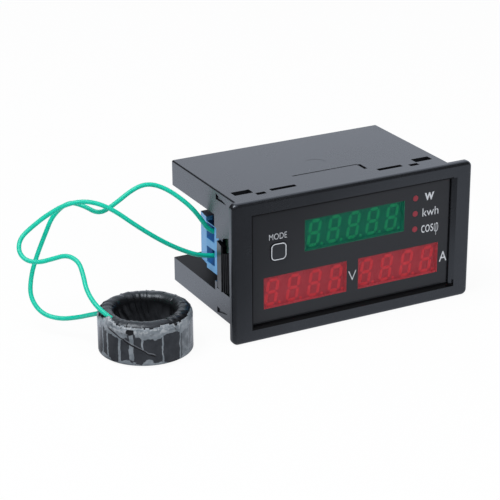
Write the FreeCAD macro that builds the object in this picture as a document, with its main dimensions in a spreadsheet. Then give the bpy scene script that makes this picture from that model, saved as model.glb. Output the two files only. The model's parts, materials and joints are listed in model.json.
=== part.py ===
"""Digital panel power meter with its current transformer, as separate pieces in millimetres.

Frame: +X to the right seen from the front, +Y to the rear, +Z up. The origin is under the middle of
the meter, at the level of the bezel's lower edge. In the functions below a place is given as it is
measured on the meter: across from its middle, deep from the bezel's front, up from the bezel's middle.
"""
import FreeCAD, Part
import Sketcher
import math
import os
from types import SimpleNamespace
from FreeCAD import Placement, Rotation, Vector

SHEET_VALUES = dict(
    # Bezel and the skirt behind it
    bezel_width=80.2, bezel_height=43.2, bezel_thickness=2.2, bezel_corner=1.8, bezel_edge=1.1,
    overall_depth=48.5, body_width=72.0, body_height=39.4, body_edge=0.5, wall=1.5, split_depth=18.6,
    lens_width=67.0, lens_height=34.0, lens_recess=1.9, lens_thickness=1.4, lens_gap=0.2,
    lens_corner=0.2, lens_slope_right=1.2, lens_slope_below=0.6, front_plate=1.5,
    # Slots, step and marks in the skirt
    hook_slot_front=11.5, hook_slot_rear=14.4, hook_slot_inner=27.5, hook_slot_outer=33.4,
    short_slot_inner=24.3, short_slot_outer=27.3, short_slot_depth=9.95,
    long_slot_inner=13.9, long_slot_outer=22.2, long_slot_depth=11.05, slot_breadth=1.7,
    cross_slot_breadth=1.1,
    cross_slot_across=11.4, cross_slot_front=13.7, cross_slot_rear=18.0,
    step_half_width=11.0, step_length=1.4, step_sink=0.1,
    mark_tip_depth=11.7, mark_tip_up=17.1, mark_upper=18.7, mark_lower=16.9, mark_sink=0.45,
    # Side clips and the windows that they move in
    window_front=3.5, window_low=-10.9, window_high=7.5, window_bend=10.2, window_rear_high=4.2,
    clip_tip=18.3, clip_crest_depth=14.0, clip_crest=36.9, clip_tip_across=36.0, clip_root=5.0,
    clip_root_across=35.2, clip_thickness=1.3, clip_low=-10.4, clip_high=4.1, clip_rib_high=1.7,
    clip_front_low=-8.8, clip_front_high=4.4, guard_across=32.3, guard_thickness=0.8, guard_rear=16.8,
    shade_inner=33.3, shade_front=17.0, shade_rear=18.4,
    clip_rib_pitch=0.9, clip_rib_breadth=0.5, clip_rib_sink=0.4, clip_rib_count=9,
    clip_pin_radius=0.5, clip_pin_depth=5.6, clip_pin_length=0.9, clip_gap=0.3, running_gap=0.05,
    # Rear case with a wire bay on each side
    bay_low=-12.0, bay_high=11.8, bay_reach=13.0, bay_front_wall=1.2, bay_block_gap=0.3,
    gate_radius=3.2, gate_across=0.85, gate_depth=25.5, gate_sink=0.03,
    tongue_thickness=1.0, tongue_gap=0.1, tongue_side_gap=0.4, tongue_root=3.0, hook_height=0.5,
    hook_gap=0.3,
    # Colour windows in the lens
    green_left=-15.8, green_right=17.75, green_low=2.7, green_high=12.2,
    red_left_outer=-29.2, red_left_inner=-1.8, red_right_inner=2.25, red_right_outer=29.9,
    red_low=-12.75, red_high=-3.2, filter_gap=0.05,
    # Display modules
    display_front=3.35, display_border=1.1, display_plate_gap=0.3, digit_height=8.35, digit_width=4.1,
    digit_slant=9.0, segment_breadth=1.0, segment_gap=0.15, segment_depth=0.6, point_radius=0.45,
    digits_aside=0.2, green_below=0.25, red_below=0.55, point_aside=0.55,
    green_pitch=6.55, red_pitch=7.05, display_pin_radius=0.25, display_pin_pitch=2.54,
    display_pin_tail=0.6, display_pin_inset=1.2,
    # Indicator lamps
    lamp_across=21.6, lamp_top=12.3, lamp_pitch=4.9, lamp_tip_radius=0.9, lamp_base_radius=1.5,
    lamp_base_front=6.0, lamp_base_rear=8.5, lamp_hole_gap=0.05, lamp_spacer_width=4.0,
    # Mode key and its switch
    key_across=-24.5, key_up=4.4, key_width=5.15, key_height=5.35, key_corner=1.4, key_gap=0.15,
    key_proud=0.3, key_flange=0.5, key_flange_gap=0.05, key_flange_thickness=1.0, key_rear=5.0,
    key_travel=0.3, switch_size=6.0, switch_front=6.8, plunger_radius=1.6, plunger_length=2.6,
    plunger_gap=0.15, plunger_room=0.7,
    # Boards
    display_board_front=10.3, display_board_thickness=1.5, display_board_width=64.0,
    display_board_margin=1.4, main_board_front=17.0, main_board_width=66.0,
    main_board_margin=1.3, post_radius=1.2, upper_post_across=29.5, upper_post_inset=4.6,
    lower_post_across=20.0, lower_post_inset=2.6, screw_shank_radius=0.6, screw_head_radius=1.1,
    screw_head_height=0.8, screw_length=4.0, screw_hole_gap=0.02, rib_across=14.0, rib_breadth=2.0,
    rib_height=2.4, rib_gap=0.3, header_inset=2.8, header_pins=8, header_pitch=2.54,
    header_breadth=2.4, header_height=2.5, header_pin_radius=0.32, header_tail=0.6,
    # Chips and small parts on the boards
    chip_height=1.5, chip_lead_pitch=1.27, chip_lead_breadth=0.42, chip_lead_reach=1.0,
    chip_lead_thickness=0.2, driver_length=17.0, driver_breadth=5.3, driver_leads=12, driver_up=-0.25,
    controller_length=10.0, controller_breadth=7.0, controller_leads=7, controller_across=-4.0,
    controller_up=4.0, metering_length=9.9, metering_breadth=3.9, metering_leads=7,
    metering_across=-20.0, metering_up=-4.0, crystal_length=10.5, crystal_breadth=4.6,
    crystal_height=3.4, crystal_across=10.0, crystal_up=3.0, resistor_length=3.2,
    resistor_breadth=1.6, resistor_height=0.6, resistor_pitch=2.6, resistor_across=-28.5,
    resistor_up=-7.8, resistor_count=5,
    # Mains supply parts behind the main board
    core_width=14.0, core_depth=12.0, core_thickness=6.0, core_leg=4.0, core_yoke=2.0,
    transformer_up=6.0, bobbin_base=1.5, bobbin_wall=0.8, bobbin_gap=0.05, bobbin_flange_up=6.5,
    coil_inset=0.6, bulk_radius=5.0, bulk_length=16.0, bulk_across=-14.5, bulk_inset=8.2,
    output_radius=3.15, output_length=11.5, output_across=-3.5, output_pitch=7.5, output_inset=6.6,
    can_groove=0.3, can_groove_height=1.6, film_width=11.5, film_depth=12.0, film_thickness=6.0,
    film_across=15.1, film_inset=4.3, stand_off=0.3, varistor_radius=4.5, varistor_thickness=3.4,
    varistor_across=18.2, varistor_up=4.0, varistor_lift=2.0, lead_radius=0.3, lead_pitch=5.0,
    fuse_radius=1.8, fuse_length=10.0, fuse_across=12.5, fuse_up=-1.5, fuse_lift=1.8,
    fuse_clip_breadth=2.0, fuse_clip_wall=0.5, bridge_width=8.0, bridge_depth=3.2,
    bridge_height=6.2, bridge_across=-15.5, bridge_up=8.0, regulator_radius=2.4,
    regulator_flat=1.2, regulator_length=4.8, regulator_lift=1.8, regulator_across=-13.0,
    regulator_up=0.5, regulator_lead_radius=0.25, regulator_lead_pitch=1.27,
    # Terminal blocks
    pole_pitch=7.53, pole_length=7.53, block_outer=34.0, block_width=9.8,
    shoulder_behind_wire=4.25, block_behind_wire=9.35, block_slope=0.7, tongue_low=1.2,
    tongue_reach=2.0, groove_gap=0.1,
    entry_wall=2.6, inner_wall=1.0, floor_wall=1.7, roof_wall=2.9, partition=0.9,
    conductor_diameter=1.0, wire_depth=24.95, wire_throat=1.7, wire_throat_up=2.4,
    throat_rear=2.6, mouth_front=1.05, mouth_rear=4.35, mouth_low=3.0, mouth_high=2.2, mouth_sink=1.1,
    # Rising clamps, their screws and the contacts
    clamp_across=28.8, clamp_width=4.8, clamp_half_height=2.3, clamp_side=0.7, clamp_jaw=0.9,
    clamp_nut=1.5, clamp_window=4.8, clamp_travel=2.5, clamp_turns=5.0, terminal_screw_radius=1.25,
    terminal_head_radius=1.9, terminal_head_height=1.5, head_well_gap=0.2, head_sink=0.4,
    slot_width=0.5, slot_sink=0.7, contact_thickness=0.8, contact_half_height=1.4,
    contact_leg_half=0.5, contact_leg_outer=26.1, contact_tail=1.0, leg_hole_gap=0.1,
    contact_end_gap=0.2,
    # Current transformer, flat on the ground beside the meter
    ring_across=-62.2, ring_behind=-12.2, ring_radius=13.7, ring_bore=8.4, ring_height=12.8,
    ring_round=2.4, tape_wall=0.5, band_thickness=0.2, band_low=0.7, band_high=11.2,
    winding_wall=0.75, ring_fit=0.05,
    # Wires
    wire_diameter=1.36, wire_hole_gap=0.04, strip_across=31.6, conductor_end=27.2, strip_gap=0.2,
)

# The wires' points, from inside the terminal to inside the tape, as (X, Y, Z) in the part's frame
UPPER_WIRE = (
    (-31.6, 0.7, 25.17), (-34.9, 0.9, 26.0), (-37.1, 2.1, 28.7), (-39.0, 5.6, 34.0),
    (-43.4, 9.2, 39.0), (-48.9, 10.9, 40.7), (-55.3, 11.4, 38.2), (-60.4, 11.8, 34.8),
    (-64.5, 13.6, 32.3), (-67.8, 17.5, 34.6), (-71.2, 20.6, 35.3), (-75.6, 22.2, 31.4),
    (-78.5, 21.8, 25.9), (-81.8, 20.4, 20.6), (-84.7, 18.5, 15.3), (-86.6, 15.2, 10.2),
    (-85.0, 10.6, 6.3), (-81.0, 6.4, 5.4), (-77.0, 1.7, 7.0), (-75.4, -2.8, 9.2),
    (-73.9, -6.9, 11.1),
)
LOWER_WIRE = (
    (-31.6, 0.7, 17.64), (-35.6, 0.8, 17.6), (-40.4, 2.9, 18.8), (-46.2, 5.2, 22.2),
    (-51.7, 6.9, 26.8), (-57.0, 8.2, 31.3), (-62.3, 10.0, 35.3), (-67.6, 13.4, 37.3),
    (-72.8, 16.9, 36.3), (-78.0, 19.4, 33.1), (-83.0, 20.7, 29.4), (-86.7, 20.5, 26.7),
    (-88.4, 17.8, 24.0), (-87.6, 14.2, 22.2), (-84.6, 11.2, 22.1), (-81.3, 9.0, 23.4),
    (-77.9, 6.2, 25.0), (-75.9, 2.5, 24.0), (-76.1, -1.1, 21.3), (-76.8, -4.7, 18.2),
    (-76.4, -8.4, 15.7), (-75.1, -11.7, 13.7), (-73.2, -14.6, 12.0),
)

doc = FreeCAD.newDocument("PanelPowerMeter")
sheet = doc.addObject("Spreadsheet::Sheet", "Sizes")
for row, (alias, number) in enumerate(SHEET_VALUES.items(), start=1):
    sheet.set(f"A{row}", alias)
    sheet.set(f"B{row}", str(number))
    sheet.setAlias(f"B{row}", alias)
doc.recompute()


class Size:
    """A length that holds its value and the formula that gives it from the sheet's cells."""

    def __init__(self, value, formula=None):
        self.value = float(value)
        self.formula = formula or repr(float(value))

    def __add__(self, other):
        other = as_size(other)
        return Size(self.value + other.value, f"({self.formula} + {other.formula})")

    def __sub__(self, other):
        other = as_size(other)
        return Size(self.value - other.value, f"({self.formula} - {other.formula})")

    def __mul__(self, other):
        other = as_size(other)
        return Size(self.value * other.value, f"({self.formula} * {other.formula})")

    def __truediv__(self, other):
        other = as_size(other)
        return Size(self.value / other.value, f"({self.formula} / {other.formula})")

    def __radd__(self, other):
        return as_size(other) + self

    def __rsub__(self, other):
        return as_size(other) - self

    def __rmul__(self, other):
        return as_size(other) * self

    def __neg__(self):
        return as_size(0) - self


def as_size(number):
    return number if isinstance(number, Size) else Size(number)


s = SimpleNamespace(**{alias: Size(number, "Sizes." + alias) for alias, number in SHEET_VALUES.items()})
LEFT, RIGHT = -1, 1
BOTTOM, TOP = -1, 1
ORIGIN_BEHIND = s.overall_depth / 2
ORIGIN_BELOW = s.bezel_height / 2
ALONG = {
    "across": Rotation(Vector(0, 1, 0), 90),
    "deep": Rotation(Vector(1, 0, 0), -90),
    "up": Rotation(),
}
ARC_SHARE = 0.45
CRYSTAL_ROUND_SHARE = 0.45
ENTRY_BEHIND, ENTRY_LENGTH = 4, 5
nodes = []


def tie(thing, prop, size):
    """Binds one property of an object to the sheet."""
    thing.setExpression(prop, as_size(size).formula)


def place(thing, across, deep, up):
    """Puts an object's own origin at a place on the meter."""
    tie(thing, "Placement.Base.x", across)
    tie(thing, "Placement.Base.y", as_size(deep) - ORIGIN_BEHIND)
    tie(thing, "Placement.Base.z", as_size(up) + ORIGIN_BELOW)


def span(one, other):
    """Two limits, the lower one first."""
    one, other = as_size(one), as_size(other)
    return (one, other) if one.value < other.value else (other, one)


def around(middle, breadth):
    return middle - as_size(breadth) / 2, middle + as_size(breadth) / 2


def behind(start, length):
    return as_size(start), start + as_size(length)


def box(name, across, deep, up):
    """A block between two limits in each direction."""
    block = doc.addObject("Part::Box", name)
    for prop, limits in (("Length", across), ("Width", deep), ("Height", up)):
        tie(block, prop, limits[1] - as_size(limits[0]))
    place(block, across[0], deep[0], up[0])
    return block


def rod(name, along, radius, limits, *centre):
    """A round rod along one direction; centre holds its other two places, in the order used above."""
    cylinder = doc.addObject("Part::Cylinder", name)
    tie(cylinder, "Radius", radius)
    tie(cylinder, "Height", limits[1] - as_size(limits[0]))
    cylinder.Placement = Placement(Vector(), ALONG[along])
    spot = list(centre)
    spot.insert(list(ALONG).index(along), limits[0])
    place(cylinder, *spot)
    return cylinder


def fuse(name, *pieces):
    union = doc.addObject("Part::MultiFuse", name)
    union.Shapes = list(pieces)
    return union


def cut(name, base, *tools):
    """The base without the tools."""
    difference = doc.addObject("Part::Cut", name)
    difference.Base = base
    difference.Tool = tools[0] if len(tools) == 1 else fuse(name + "_tools", *tools)
    return difference


def group(name, *solids):
    """Separate solids that share one node."""
    together = doc.addObject("Part::Compound", name)
    together.Links = list(solids)
    return together


def ease(kind, name, base, radius, wanted):
    """Rounds or chamfers the edges of a base that the test wants."""
    doc.recompute()
    eased = doc.addObject(kind, name)
    eased.Base = base
    eased.Edges = [
        (number, radius.value, radius.value)
        for number, edge in enumerate(base.Shape.Edges, start=1)
        if wanted(edge)
    ]
    return eased


def runs_along(direction):
    """A test for straight edges in one direction."""
    def wanted(edge):
        if not isinstance(edge.Curve, Part.Line):
            return False
        return abs(abs(edge.tangentAt(edge.FirstParameter).dot(direction)) - 1) < 1e-6
    return wanted


def at_level(direction, level):
    """A test for edges that lie flat at one level."""
    def wanted(edge):
        return all(abs(vertex.Point.dot(direction) - level) < 1e-4 for vertex in edge.Vertexes)
    return wanted


def prism(name, outline, limits, plane="XY_Plane"):
    """An outline padded straight between two limits.

    On XY_Plane the points are (across, deep) and the limits go up; on YZ_Plane the points are
    (deep, up) and the limits go across.
    """
    body = doc.addObject("PartDesign::Body", name)
    drawing = body.newObject("Sketcher::SketchObject", name + "_outline")
    base_plane = next(f for f in body.Origin.OriginFeatures if f.Role == plane)
    drawing.AttachmentSupport = [(base_plane, "")]
    drawing.MapMode = "FlatFace"
    corners = [(as_size(one), as_size(other)) for one, other in outline]
    for start, stop in zip(corners, corners[1:] + corners[:1]):
        drawing.addGeometry(Part.LineSegment(
            Vector(start[0].value, start[1].value, 0), Vector(stop[0].value, stop[1].value, 0)))
    for number in range(len(corners)):
        following = (number + 1) % len(corners)
        drawing.addConstraint(Sketcher.Constraint("Coincident", number, 2, following, 1))
    for number, corner in enumerate(corners):
        for kind, size in zip(("DistanceX", "DistanceY"), corner):
            index = drawing.addConstraint(Sketcher.Constraint(kind, -1, 1, number, 1, size.value))
            drawing.setExpression(f"Constraints[{index}]", size.formula)
    pad = body.newObject("PartDesign::Pad", name + "_pad")
    pad.Profile = drawing
    tie(pad, "Length", limits[1] - as_size(limits[0]))
    body.Tip = pad
    if plane == "XY_Plane":
        place(body, 0, 0, limits[0])
    else:
        place(body, limits[0], 0, 0)
    return body


def keep(piece, name):
    """Names a finished piece; its label is also its file's name."""
    piece.Label = name
    nodes.append(piece)
    return piece


def own_shape(name, shape):
    """A piece whose shape is worked out here from the sheet's values, in the part's frame."""
    feature = doc.addObject("Part::Feature", name)
    feature.Shape = shape
    return feature


half_body = s.body_width / 2
half_body_up = s.body_height / 2
skirt_inner = half_body - s.wall
skirt_inner_up = half_body_up - s.wall
plate_front = s.lens_recess + s.lens_thickness
plate_rear = plate_front + s.front_plate
display_board_rear = s.display_board_front + s.display_board_thickness
main_board_rear = s.split_depth
key_middle = (s.key_across, s.key_up)
colour_windows = {
    "green": ((s.green_left, s.green_right), (s.green_low, s.green_high)),
    "red_left": ((s.red_left_outer, s.red_left_inner), (s.red_low, s.red_high)),
    "red_right": ((s.red_right_inner, s.red_right_outer), (s.red_low, s.red_high)),
}
lamp_ups = [s.lamp_top - s.lamp_pitch * number for number in range(3)]
display_board_height = (skirt_inner_up - s.display_board_margin) * 2
main_board_height = (skirt_inner_up - s.main_board_margin) * 2
board_posts = [(side * s.upper_post_across, skirt_inner_up - s.upper_post_inset)
               for side in (LEFT, RIGHT)]
board_posts += [(side * s.lower_post_across, s.lower_post_inset - skirt_inner_up)
                for side in (LEFT, RIGHT)]
header_up = s.header_inset - skirt_inner_up


def grown(limits, margin):
    return limits[0] - margin, limits[1] + margin


def slots(side, level):
    """The slots of one side in the skirt's upper or lower wall."""
    name = f"slot_{'l' if side == LEFT else 'r'}{'t' if level == TOP else 'b'}"
    through = span(level * (skirt_inner_up - s.wall), level * (half_body_up + s.wall))
    hook = box(name + "_hook", span(side * s.hook_slot_inner, side * s.hook_slot_outer),
               (s.hook_slot_front, s.hook_slot_rear), through)
    short = box(name + "_short", span(side * s.short_slot_inner, side * s.short_slot_outer),
                around(s.short_slot_depth, s.slot_breadth), through)
    long_one = box(name + "_long", span(side * s.long_slot_inner, side * s.long_slot_outer),
                   around(s.long_slot_depth, s.slot_breadth), through)
    return [hook, short, long_one]


def clip_side(side):
    return "left" if side == LEFT else "right"


def make_front_frame():
    """Bezel, front plate and skirt in one, with posts, ribs and walls behind each clip's window."""
    flange = box("flange_block", around(0, s.bezel_width), (0, s.bezel_thickness),
                 around(0, s.bezel_height))
    flange = ease("Part::Fillet", "flange_corners", flange, s.bezel_corner,
                  runs_along(Vector(0, 1, 0)))
    flange = ease("Part::Fillet", "flange_front_edge", flange, s.bezel_edge,
                  at_level(Vector(0, 1, 0), -ORIGIN_BEHIND.value))
    skirt = box("skirt_block", around(0, s.body_width), (s.bezel_thickness, s.split_depth),
                around(0, s.body_height))
    skirt = ease("Part::Fillet", "skirt_edges", skirt, s.body_edge, runs_along(Vector(0, 1, 0)))
    hollow = box("skirt_hollow", around(0, skirt_inner * 2),
                 (plate_rear, s.split_depth + s.wall), around(0, skirt_inner_up * 2))
    opening = box("lens_opening", around(0, s.lens_width + s.lens_gap * 2),
                  (-s.wall, plate_front), around(0, s.lens_height + s.lens_gap * 2))
    # The photo shows a slope at the opening's right and lower edges only
    half, half_up = s.lens_width / 2 + s.lens_gap, s.lens_height / 2 + s.lens_gap
    slopes = [
        prism("lens_slope_right_cut",
              [(half - s.wall, -s.wall), (half + s.lens_slope_right + s.wall, -s.wall),
               (half, s.lens_slope_right), (half - s.wall, s.lens_slope_right)],
              (-half_up - s.lens_slope_below, half_up)),
        prism("lens_slope_below_cut",
              [(-s.wall, s.wall - half_up), (-s.wall, -half_up - s.lens_slope_below - s.wall),
               (s.lens_slope_below, -half_up), (s.lens_slope_below, s.wall - half_up)],
              (-half, half + s.lens_slope_right), "YZ_Plane"),
    ]
    windows = [
        box(f"plate_window_{colour}", grown(across, s.display_border + s.display_plate_gap),
            (s.lens_recess, plate_rear + s.wall), grown(up, s.display_border + s.display_plate_gap))
        for colour, (across, up) in colour_windows.items()
    ]
    key_window = box("plate_window_key",
                     around(key_middle[0], s.key_width + (s.key_flange + s.display_plate_gap) * 2),
                     (s.lens_recess, plate_rear + s.wall),
                     around(key_middle[1], s.key_height + (s.key_flange + s.display_plate_gap) * 2))
    lamp_holes = [
        rod(f"plate_lamp_hole_{number}", "deep", s.lamp_tip_radius + s.display_plate_gap,
            (s.lens_recess, plate_rear + s.wall), s.lamp_across, up)
        for number, up in enumerate(lamp_ups)
    ]
    shell = cut("frame_shell", fuse("frame_outer", flange, skirt), hollow, opening, *slopes,
                *windows, key_window, *lamp_holes)
    holes = []
    for side in (LEFT, RIGHT):
        name = clip_side(side)
        across = span(side * (skirt_inner - s.wall), side * (half_body + s.wall))
        window = prism(f"clip_window_{name}",
                       [(s.window_front, s.window_low), (s.split_depth + s.wall, s.window_low),
                        (s.split_depth + s.wall, s.window_rear_high),
                        (s.window_bend, s.window_high), (s.window_front, s.window_high)],
                       across, "YZ_Plane")
        pin_hole = rod(f"clip_pin_hole_{name}", "up", s.clip_pin_radius + s.running_gap,
                       (s.window_low - s.clip_pin_length - s.clip_gap,
                        s.window_high + s.clip_pin_length + s.clip_gap),
                       side * clip_pin_across, s.clip_pin_depth)
        holes += [window, pin_hole]
        for level in (BOTTOM, TOP):
            holes += slots(side, level)
            corner = "t" if level == TOP else "b"
            holes.append(prism(
                f"side_mark_{name}_{corner}",
                [(s.mark_tip_depth, level * s.mark_tip_up), (s.split_depth, level * s.mark_upper),
                 (s.split_depth, level * s.mark_lower)],
                span(side * (half_body - s.mark_sink), side * (half_body + s.wall)), "YZ_Plane"))
    holes.append(box("cross_slot", around(s.cross_slot_across, s.cross_slot_breadth),
                     (s.cross_slot_front, s.cross_slot_rear),
                     (skirt_inner_up - s.wall, half_body_up + s.wall)))
    holes.append(box("seam_step", around(0, s.step_half_width * 2),
                     (s.split_depth - s.step_length, s.split_depth + s.wall),
                     (half_body_up - s.step_sink, half_body_up + s.wall)))
    posts = [
        rod(f"board_post_{number}", "deep", s.post_radius,
            (plate_rear - s.screw_hole_gap, s.display_board_front), across, up)
        for number, (across, up) in enumerate(board_posts)
    ]
    screw_holes = [
        rod(f"post_hole_{number}", "deep", s.screw_shank_radius + s.screw_hole_gap,
            (display_board_rear - s.screw_length, s.display_board_front + s.wall), across, up)
        for number, (across, up) in enumerate(board_posts)
    ]
    ribs = [
        box(f"board_rib_{clip_side(side)}_{'t' if level == TOP else 'b'}",
            around(side * s.rib_across, s.rib_breadth),
            (plate_rear - s.screw_hole_gap, s.main_board_front),
            span(level * (skirt_inner_up + s.tongue_gap), level * (skirt_inner_up - s.rib_height)))
        for side in (LEFT, RIGHT) for level in (BOTTOM, TOP)
    ]
    guards = [
        box(f"clip_guard_{clip_side(side)}",
            span(side * s.guard_across, side * (s.guard_across + s.guard_thickness)),
            (plate_rear - s.screw_hole_gap, s.guard_rear), (s.window_low, s.window_high))
        for side in (LEFT, RIGHT)
    ]
    guards += [
        box(f"block_shade_{clip_side(side)}",
            span(side * s.shade_inner, side * (skirt_inner + s.running_gap)),
            (s.shade_front, s.shade_rear), (s.clip_high + s.clip_gap, s.window_high + s.wall))
        for side in (LEFT, RIGHT)
    ]
    pierced = cut("frame_pierced", shell, *holes)
    furnished = fuse("frame_furnished", pierced, *posts, *ribs, *guards)
    return keep(cut("frame_final", furnished, *screw_holes), "front_frame")


clip_pin_across = s.clip_root_across - s.clip_thickness / 2


def make_side_clip(side):
    """A sprung clip: a root bar on two pins, a ribbed slope, a crest and a lead-in ramp."""
    name = clip_side(side)
    outer = [(side * s.clip_root_across, s.clip_root), (side * s.clip_crest, s.clip_crest_depth),
             (side * s.clip_tip_across, s.clip_tip)]
    inner = [(side * (s.clip_tip_across - s.clip_thickness), s.clip_tip),
             (side * (s.clip_crest - s.clip_thickness), s.clip_crest_depth),
             (side * (s.clip_root_across - s.clip_thickness), s.clip_root)]
    block = prism(f"clip_{name}_block", outer + inner, (s.clip_low, s.clip_front_high))
    across = span(side * (s.clip_root_across - s.clip_thickness - s.wall),
                  side * (s.clip_crest + s.wall))
    trims = [
        prism(f"clip_{name}_trim_{number}",
              [(s.clip_root - s.clip_gap, front_up), (s.clip_crest_depth, crest_up),
               (s.clip_tip + s.clip_gap, crest_up), (s.clip_tip + s.clip_gap, beyond),
               (s.clip_root - s.clip_gap, beyond)], across, "YZ_Plane")
        for number, (front_up, crest_up, beyond) in enumerate((
            (s.clip_front_low, s.clip_low, s.clip_low - s.wall),
            (s.clip_front_high, s.clip_rib_high, s.clip_front_high + s.wall)))
    ]
    arm = cut(f"clip_{name}_arm", block, *trims)
    barb_back = s.clip_crest_depth - s.clip_rib_pitch
    slope = (s.clip_crest - s.clip_root_across) / (s.clip_crest_depth - s.clip_root)
    barb_edge = s.clip_crest - slope * s.clip_rib_pitch
    ramp = prism(f"clip_{name}_ramp",
                 [(side * barb_edge, barb_back), outer[1], outer[2], inner[0], inner[1],
                  (side * (barb_edge - s.clip_thickness), barb_back)],
                 (s.clip_rib_high - s.clip_gap, s.clip_high))
    root = box(f"clip_{name}_root",
               span(side * s.clip_root_across, side * (s.clip_root_across - s.clip_thickness)),
               (s.clip_root, s.clip_pin_depth * 2 - s.clip_root),
               (s.window_low + s.clip_gap, s.window_high - s.clip_gap))
    pins = rod(f"clip_{name}_pins", "up", s.clip_pin_radius,
               (s.window_low - s.clip_pin_length, s.window_high + s.clip_pin_length),
               side * clip_pin_across, s.clip_pin_depth)
    grooves = []
    lean = math.degrees(math.atan(slope.value))
    for number in range(int(s.clip_rib_count.value)):
        deep = s.clip_root + s.clip_rib_pitch * (number + 1)
        across = s.clip_root_across + slope * s.clip_rib_pitch * (number + 1)
        groove = doc.addObject("Part::Box", f"clip_{name}_groove_{number}")
        tie(groove, "Length", s.clip_rib_sink * 2)
        tie(groove, "Width", s.clip_rib_breadth)
        tie(groove, "Height", s.clip_front_high - s.clip_low + s.wall * 2)
        turned = Rotation(Vector(0, 0, 1), -side * lean)
        groove.Placement = Placement(Vector(), turned)
        start = across - s.clip_rib_sink if side == RIGHT else -across - s.clip_rib_sink
        place(groove, start, deep, s.clip_low - s.wall)
        grooves.append(groove)
    body = fuse(f"clip_{name}_body", arm, ramp, root, pins)
    return keep(cut(f"clip_{name}_final", body, *grooves), f"side_clip_{name}")


def make_rear_case():
    """The rear shell: two open wire bays, four snap tongues into the skirt's slots."""
    outer = box("case_block", around(0, s.body_width), (s.split_depth, s.overall_depth),
                around(0, s.body_height))
    rear = s.overall_depth.value - ORIGIN_BEHIND.value
    outer = ease("Part::Fillet", "case_edges", outer, s.body_edge,
                 lambda edge: runs_along(Vector(0, 1, 0))(edge)
                 or at_level(Vector(0, 1, 0), rear)(edge))
    hollow = box("case_hollow", around(0, skirt_inner * 2),
                 (s.split_depth - s.wall, s.overall_depth - s.wall), around(0, skirt_inner_up * 2))
    shell = cut("case_shell", outer, hollow)
    linings, bays = [], []
    for side in (LEFT, RIGHT):
        name = clip_side(side)
        across = span(side * (half_body - s.bay_reach - s.wall), side * half_body)
        linings.append(box(f"bay_lining_{name}", across, (s.split_depth, s.overall_depth - s.wall),
                           (s.bay_low - s.wall, s.bay_high + s.wall)))
        bays.append(box(f"bay_{name}",
                        span(side * (half_body - s.bay_reach), side * (half_body + s.wall)),
                        (s.split_depth + s.bay_front_wall, s.overall_depth + s.wall),
                        (s.bay_low, s.bay_high)))
        bays.append(box(f"bay_block_way_{name}",
                        span(side * (s.block_outer - s.block_width - s.bay_block_gap),
                             side * (half_body + s.wall)),
                        (s.split_depth - s.wall, s.split_depth + s.wall),
                        (-s.pole_length - s.tongue_low - s.bay_block_gap,
                         s.pole_length + s.bay_block_gap)))
    tongues, reliefs = [], []
    for side in (LEFT, RIGHT):
        for level in (BOTTOM, TOP):
            name = f"tongue_{clip_side(side)}_{'t' if level == TOP else 'b'}"
            across = span(side * (s.hook_slot_inner + s.tongue_side_gap),
                          side * (s.hook_slot_outer - s.tongue_side_gap))
            outer_up = skirt_inner_up - s.tongue_gap
            front = s.hook_slot_front + s.hook_gap * 2
            blade = box(name + "_blade", across, (front, s.split_depth + s.tongue_root),
                        span(level * outer_up, level * (outer_up - s.tongue_thickness)))
            hook = box(name + "_hook", across, (front, s.hook_slot_rear - s.hook_gap),
                       span(level * (outer_up - s.tongue_gap), level * (outer_up + s.hook_height)))
            root = box(name + "_root", across,
                       (s.split_depth, s.split_depth + s.tongue_root),
                       span(level * (outer_up - s.tongue_thickness),
                            level * (skirt_inner_up + s.tongue_gap)))
            tongues += [blade, hook, root]
    gate = rod("gate_mark", "up", s.gate_radius,
               (half_body_up - s.gate_sink, half_body_up + s.wall), s.gate_across, s.gate_depth)
    body = fuse("case_body", shell, *linings, *tongues)
    return keep(cut("case_final", body, *bays, gate), "rear_case")


def make_lens():
    """The smoked front panel with its colour windows, lamp holes and key hole."""
    sheet_block = box("lens_block", around(0, s.lens_width), (s.lens_recess, plate_front),
                      around(0, s.lens_height))
    sheet_block = ease("Part::Fillet", "lens_corners", sheet_block, s.lens_corner,
                       runs_along(Vector(0, 1, 0)))
    through = (s.lens_recess - s.wall, plate_front + s.wall)
    windows = [box(f"lens_window_{colour}", across, through, up)
               for colour, (across, up) in colour_windows.items()]
    lamp_holes = [rod(f"lens_lamp_hole_{number}", "deep", s.lamp_tip_radius + s.lamp_hole_gap,
                      through, s.lamp_across, up) for number, up in enumerate(lamp_ups)]
    key_hole = box("lens_key_hole", around(key_middle[0], s.key_width + s.key_gap * 2), through,
                   around(key_middle[1], s.key_height + s.key_gap * 2))
    key_hole = ease("Part::Fillet", "lens_key_hole_corners", key_hole, s.key_corner + s.key_gap,
                    runs_along(Vector(0, 1, 0)))
    keep(cut("lens_final", sheet_block, *windows, *lamp_holes, key_hole), "display_lens")
    for colour, (across, up) in colour_windows.items():
        name = "green_filter" if colour == "green" else colour.replace("red", "red_filter")
        keep(box(name + "_pane", grown(across, -s.filter_gap), (s.lens_recess, plate_front),
                 grown(up, -s.filter_gap)), name)


def segment_outlines():
    """Seven six-sided bars of one digit about its middle, before it is slanted."""
    half_width = s.digit_width.value / 2
    half_height = s.digit_height.value / 2
    bar = s.segment_breadth.value
    gap = s.segment_gap.value
    tip = bar / 2
    outlines = []
    for up in (-half_height + tip, 0.0, half_height - tip):
        reach = half_width - tip - gap
        outlines.append([(-reach, up), (-reach + tip, up + tip), (reach - tip, up + tip),
                         (reach, up), (reach - tip, up - tip), (-reach + tip, up - tip)])
    for side in (-1, 1):
        for low in (-half_height + tip, 0.0):
            across = side * (half_width - tip)
            start, stop = low + gap, low + half_height - tip - gap
            outlines.append([(across, start), (across + tip, start + tip),
                             (across + tip, stop - tip), (across, stop),
                             (across - tip, stop - tip), (across - tip, start + tip)])
    return outlines


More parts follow.
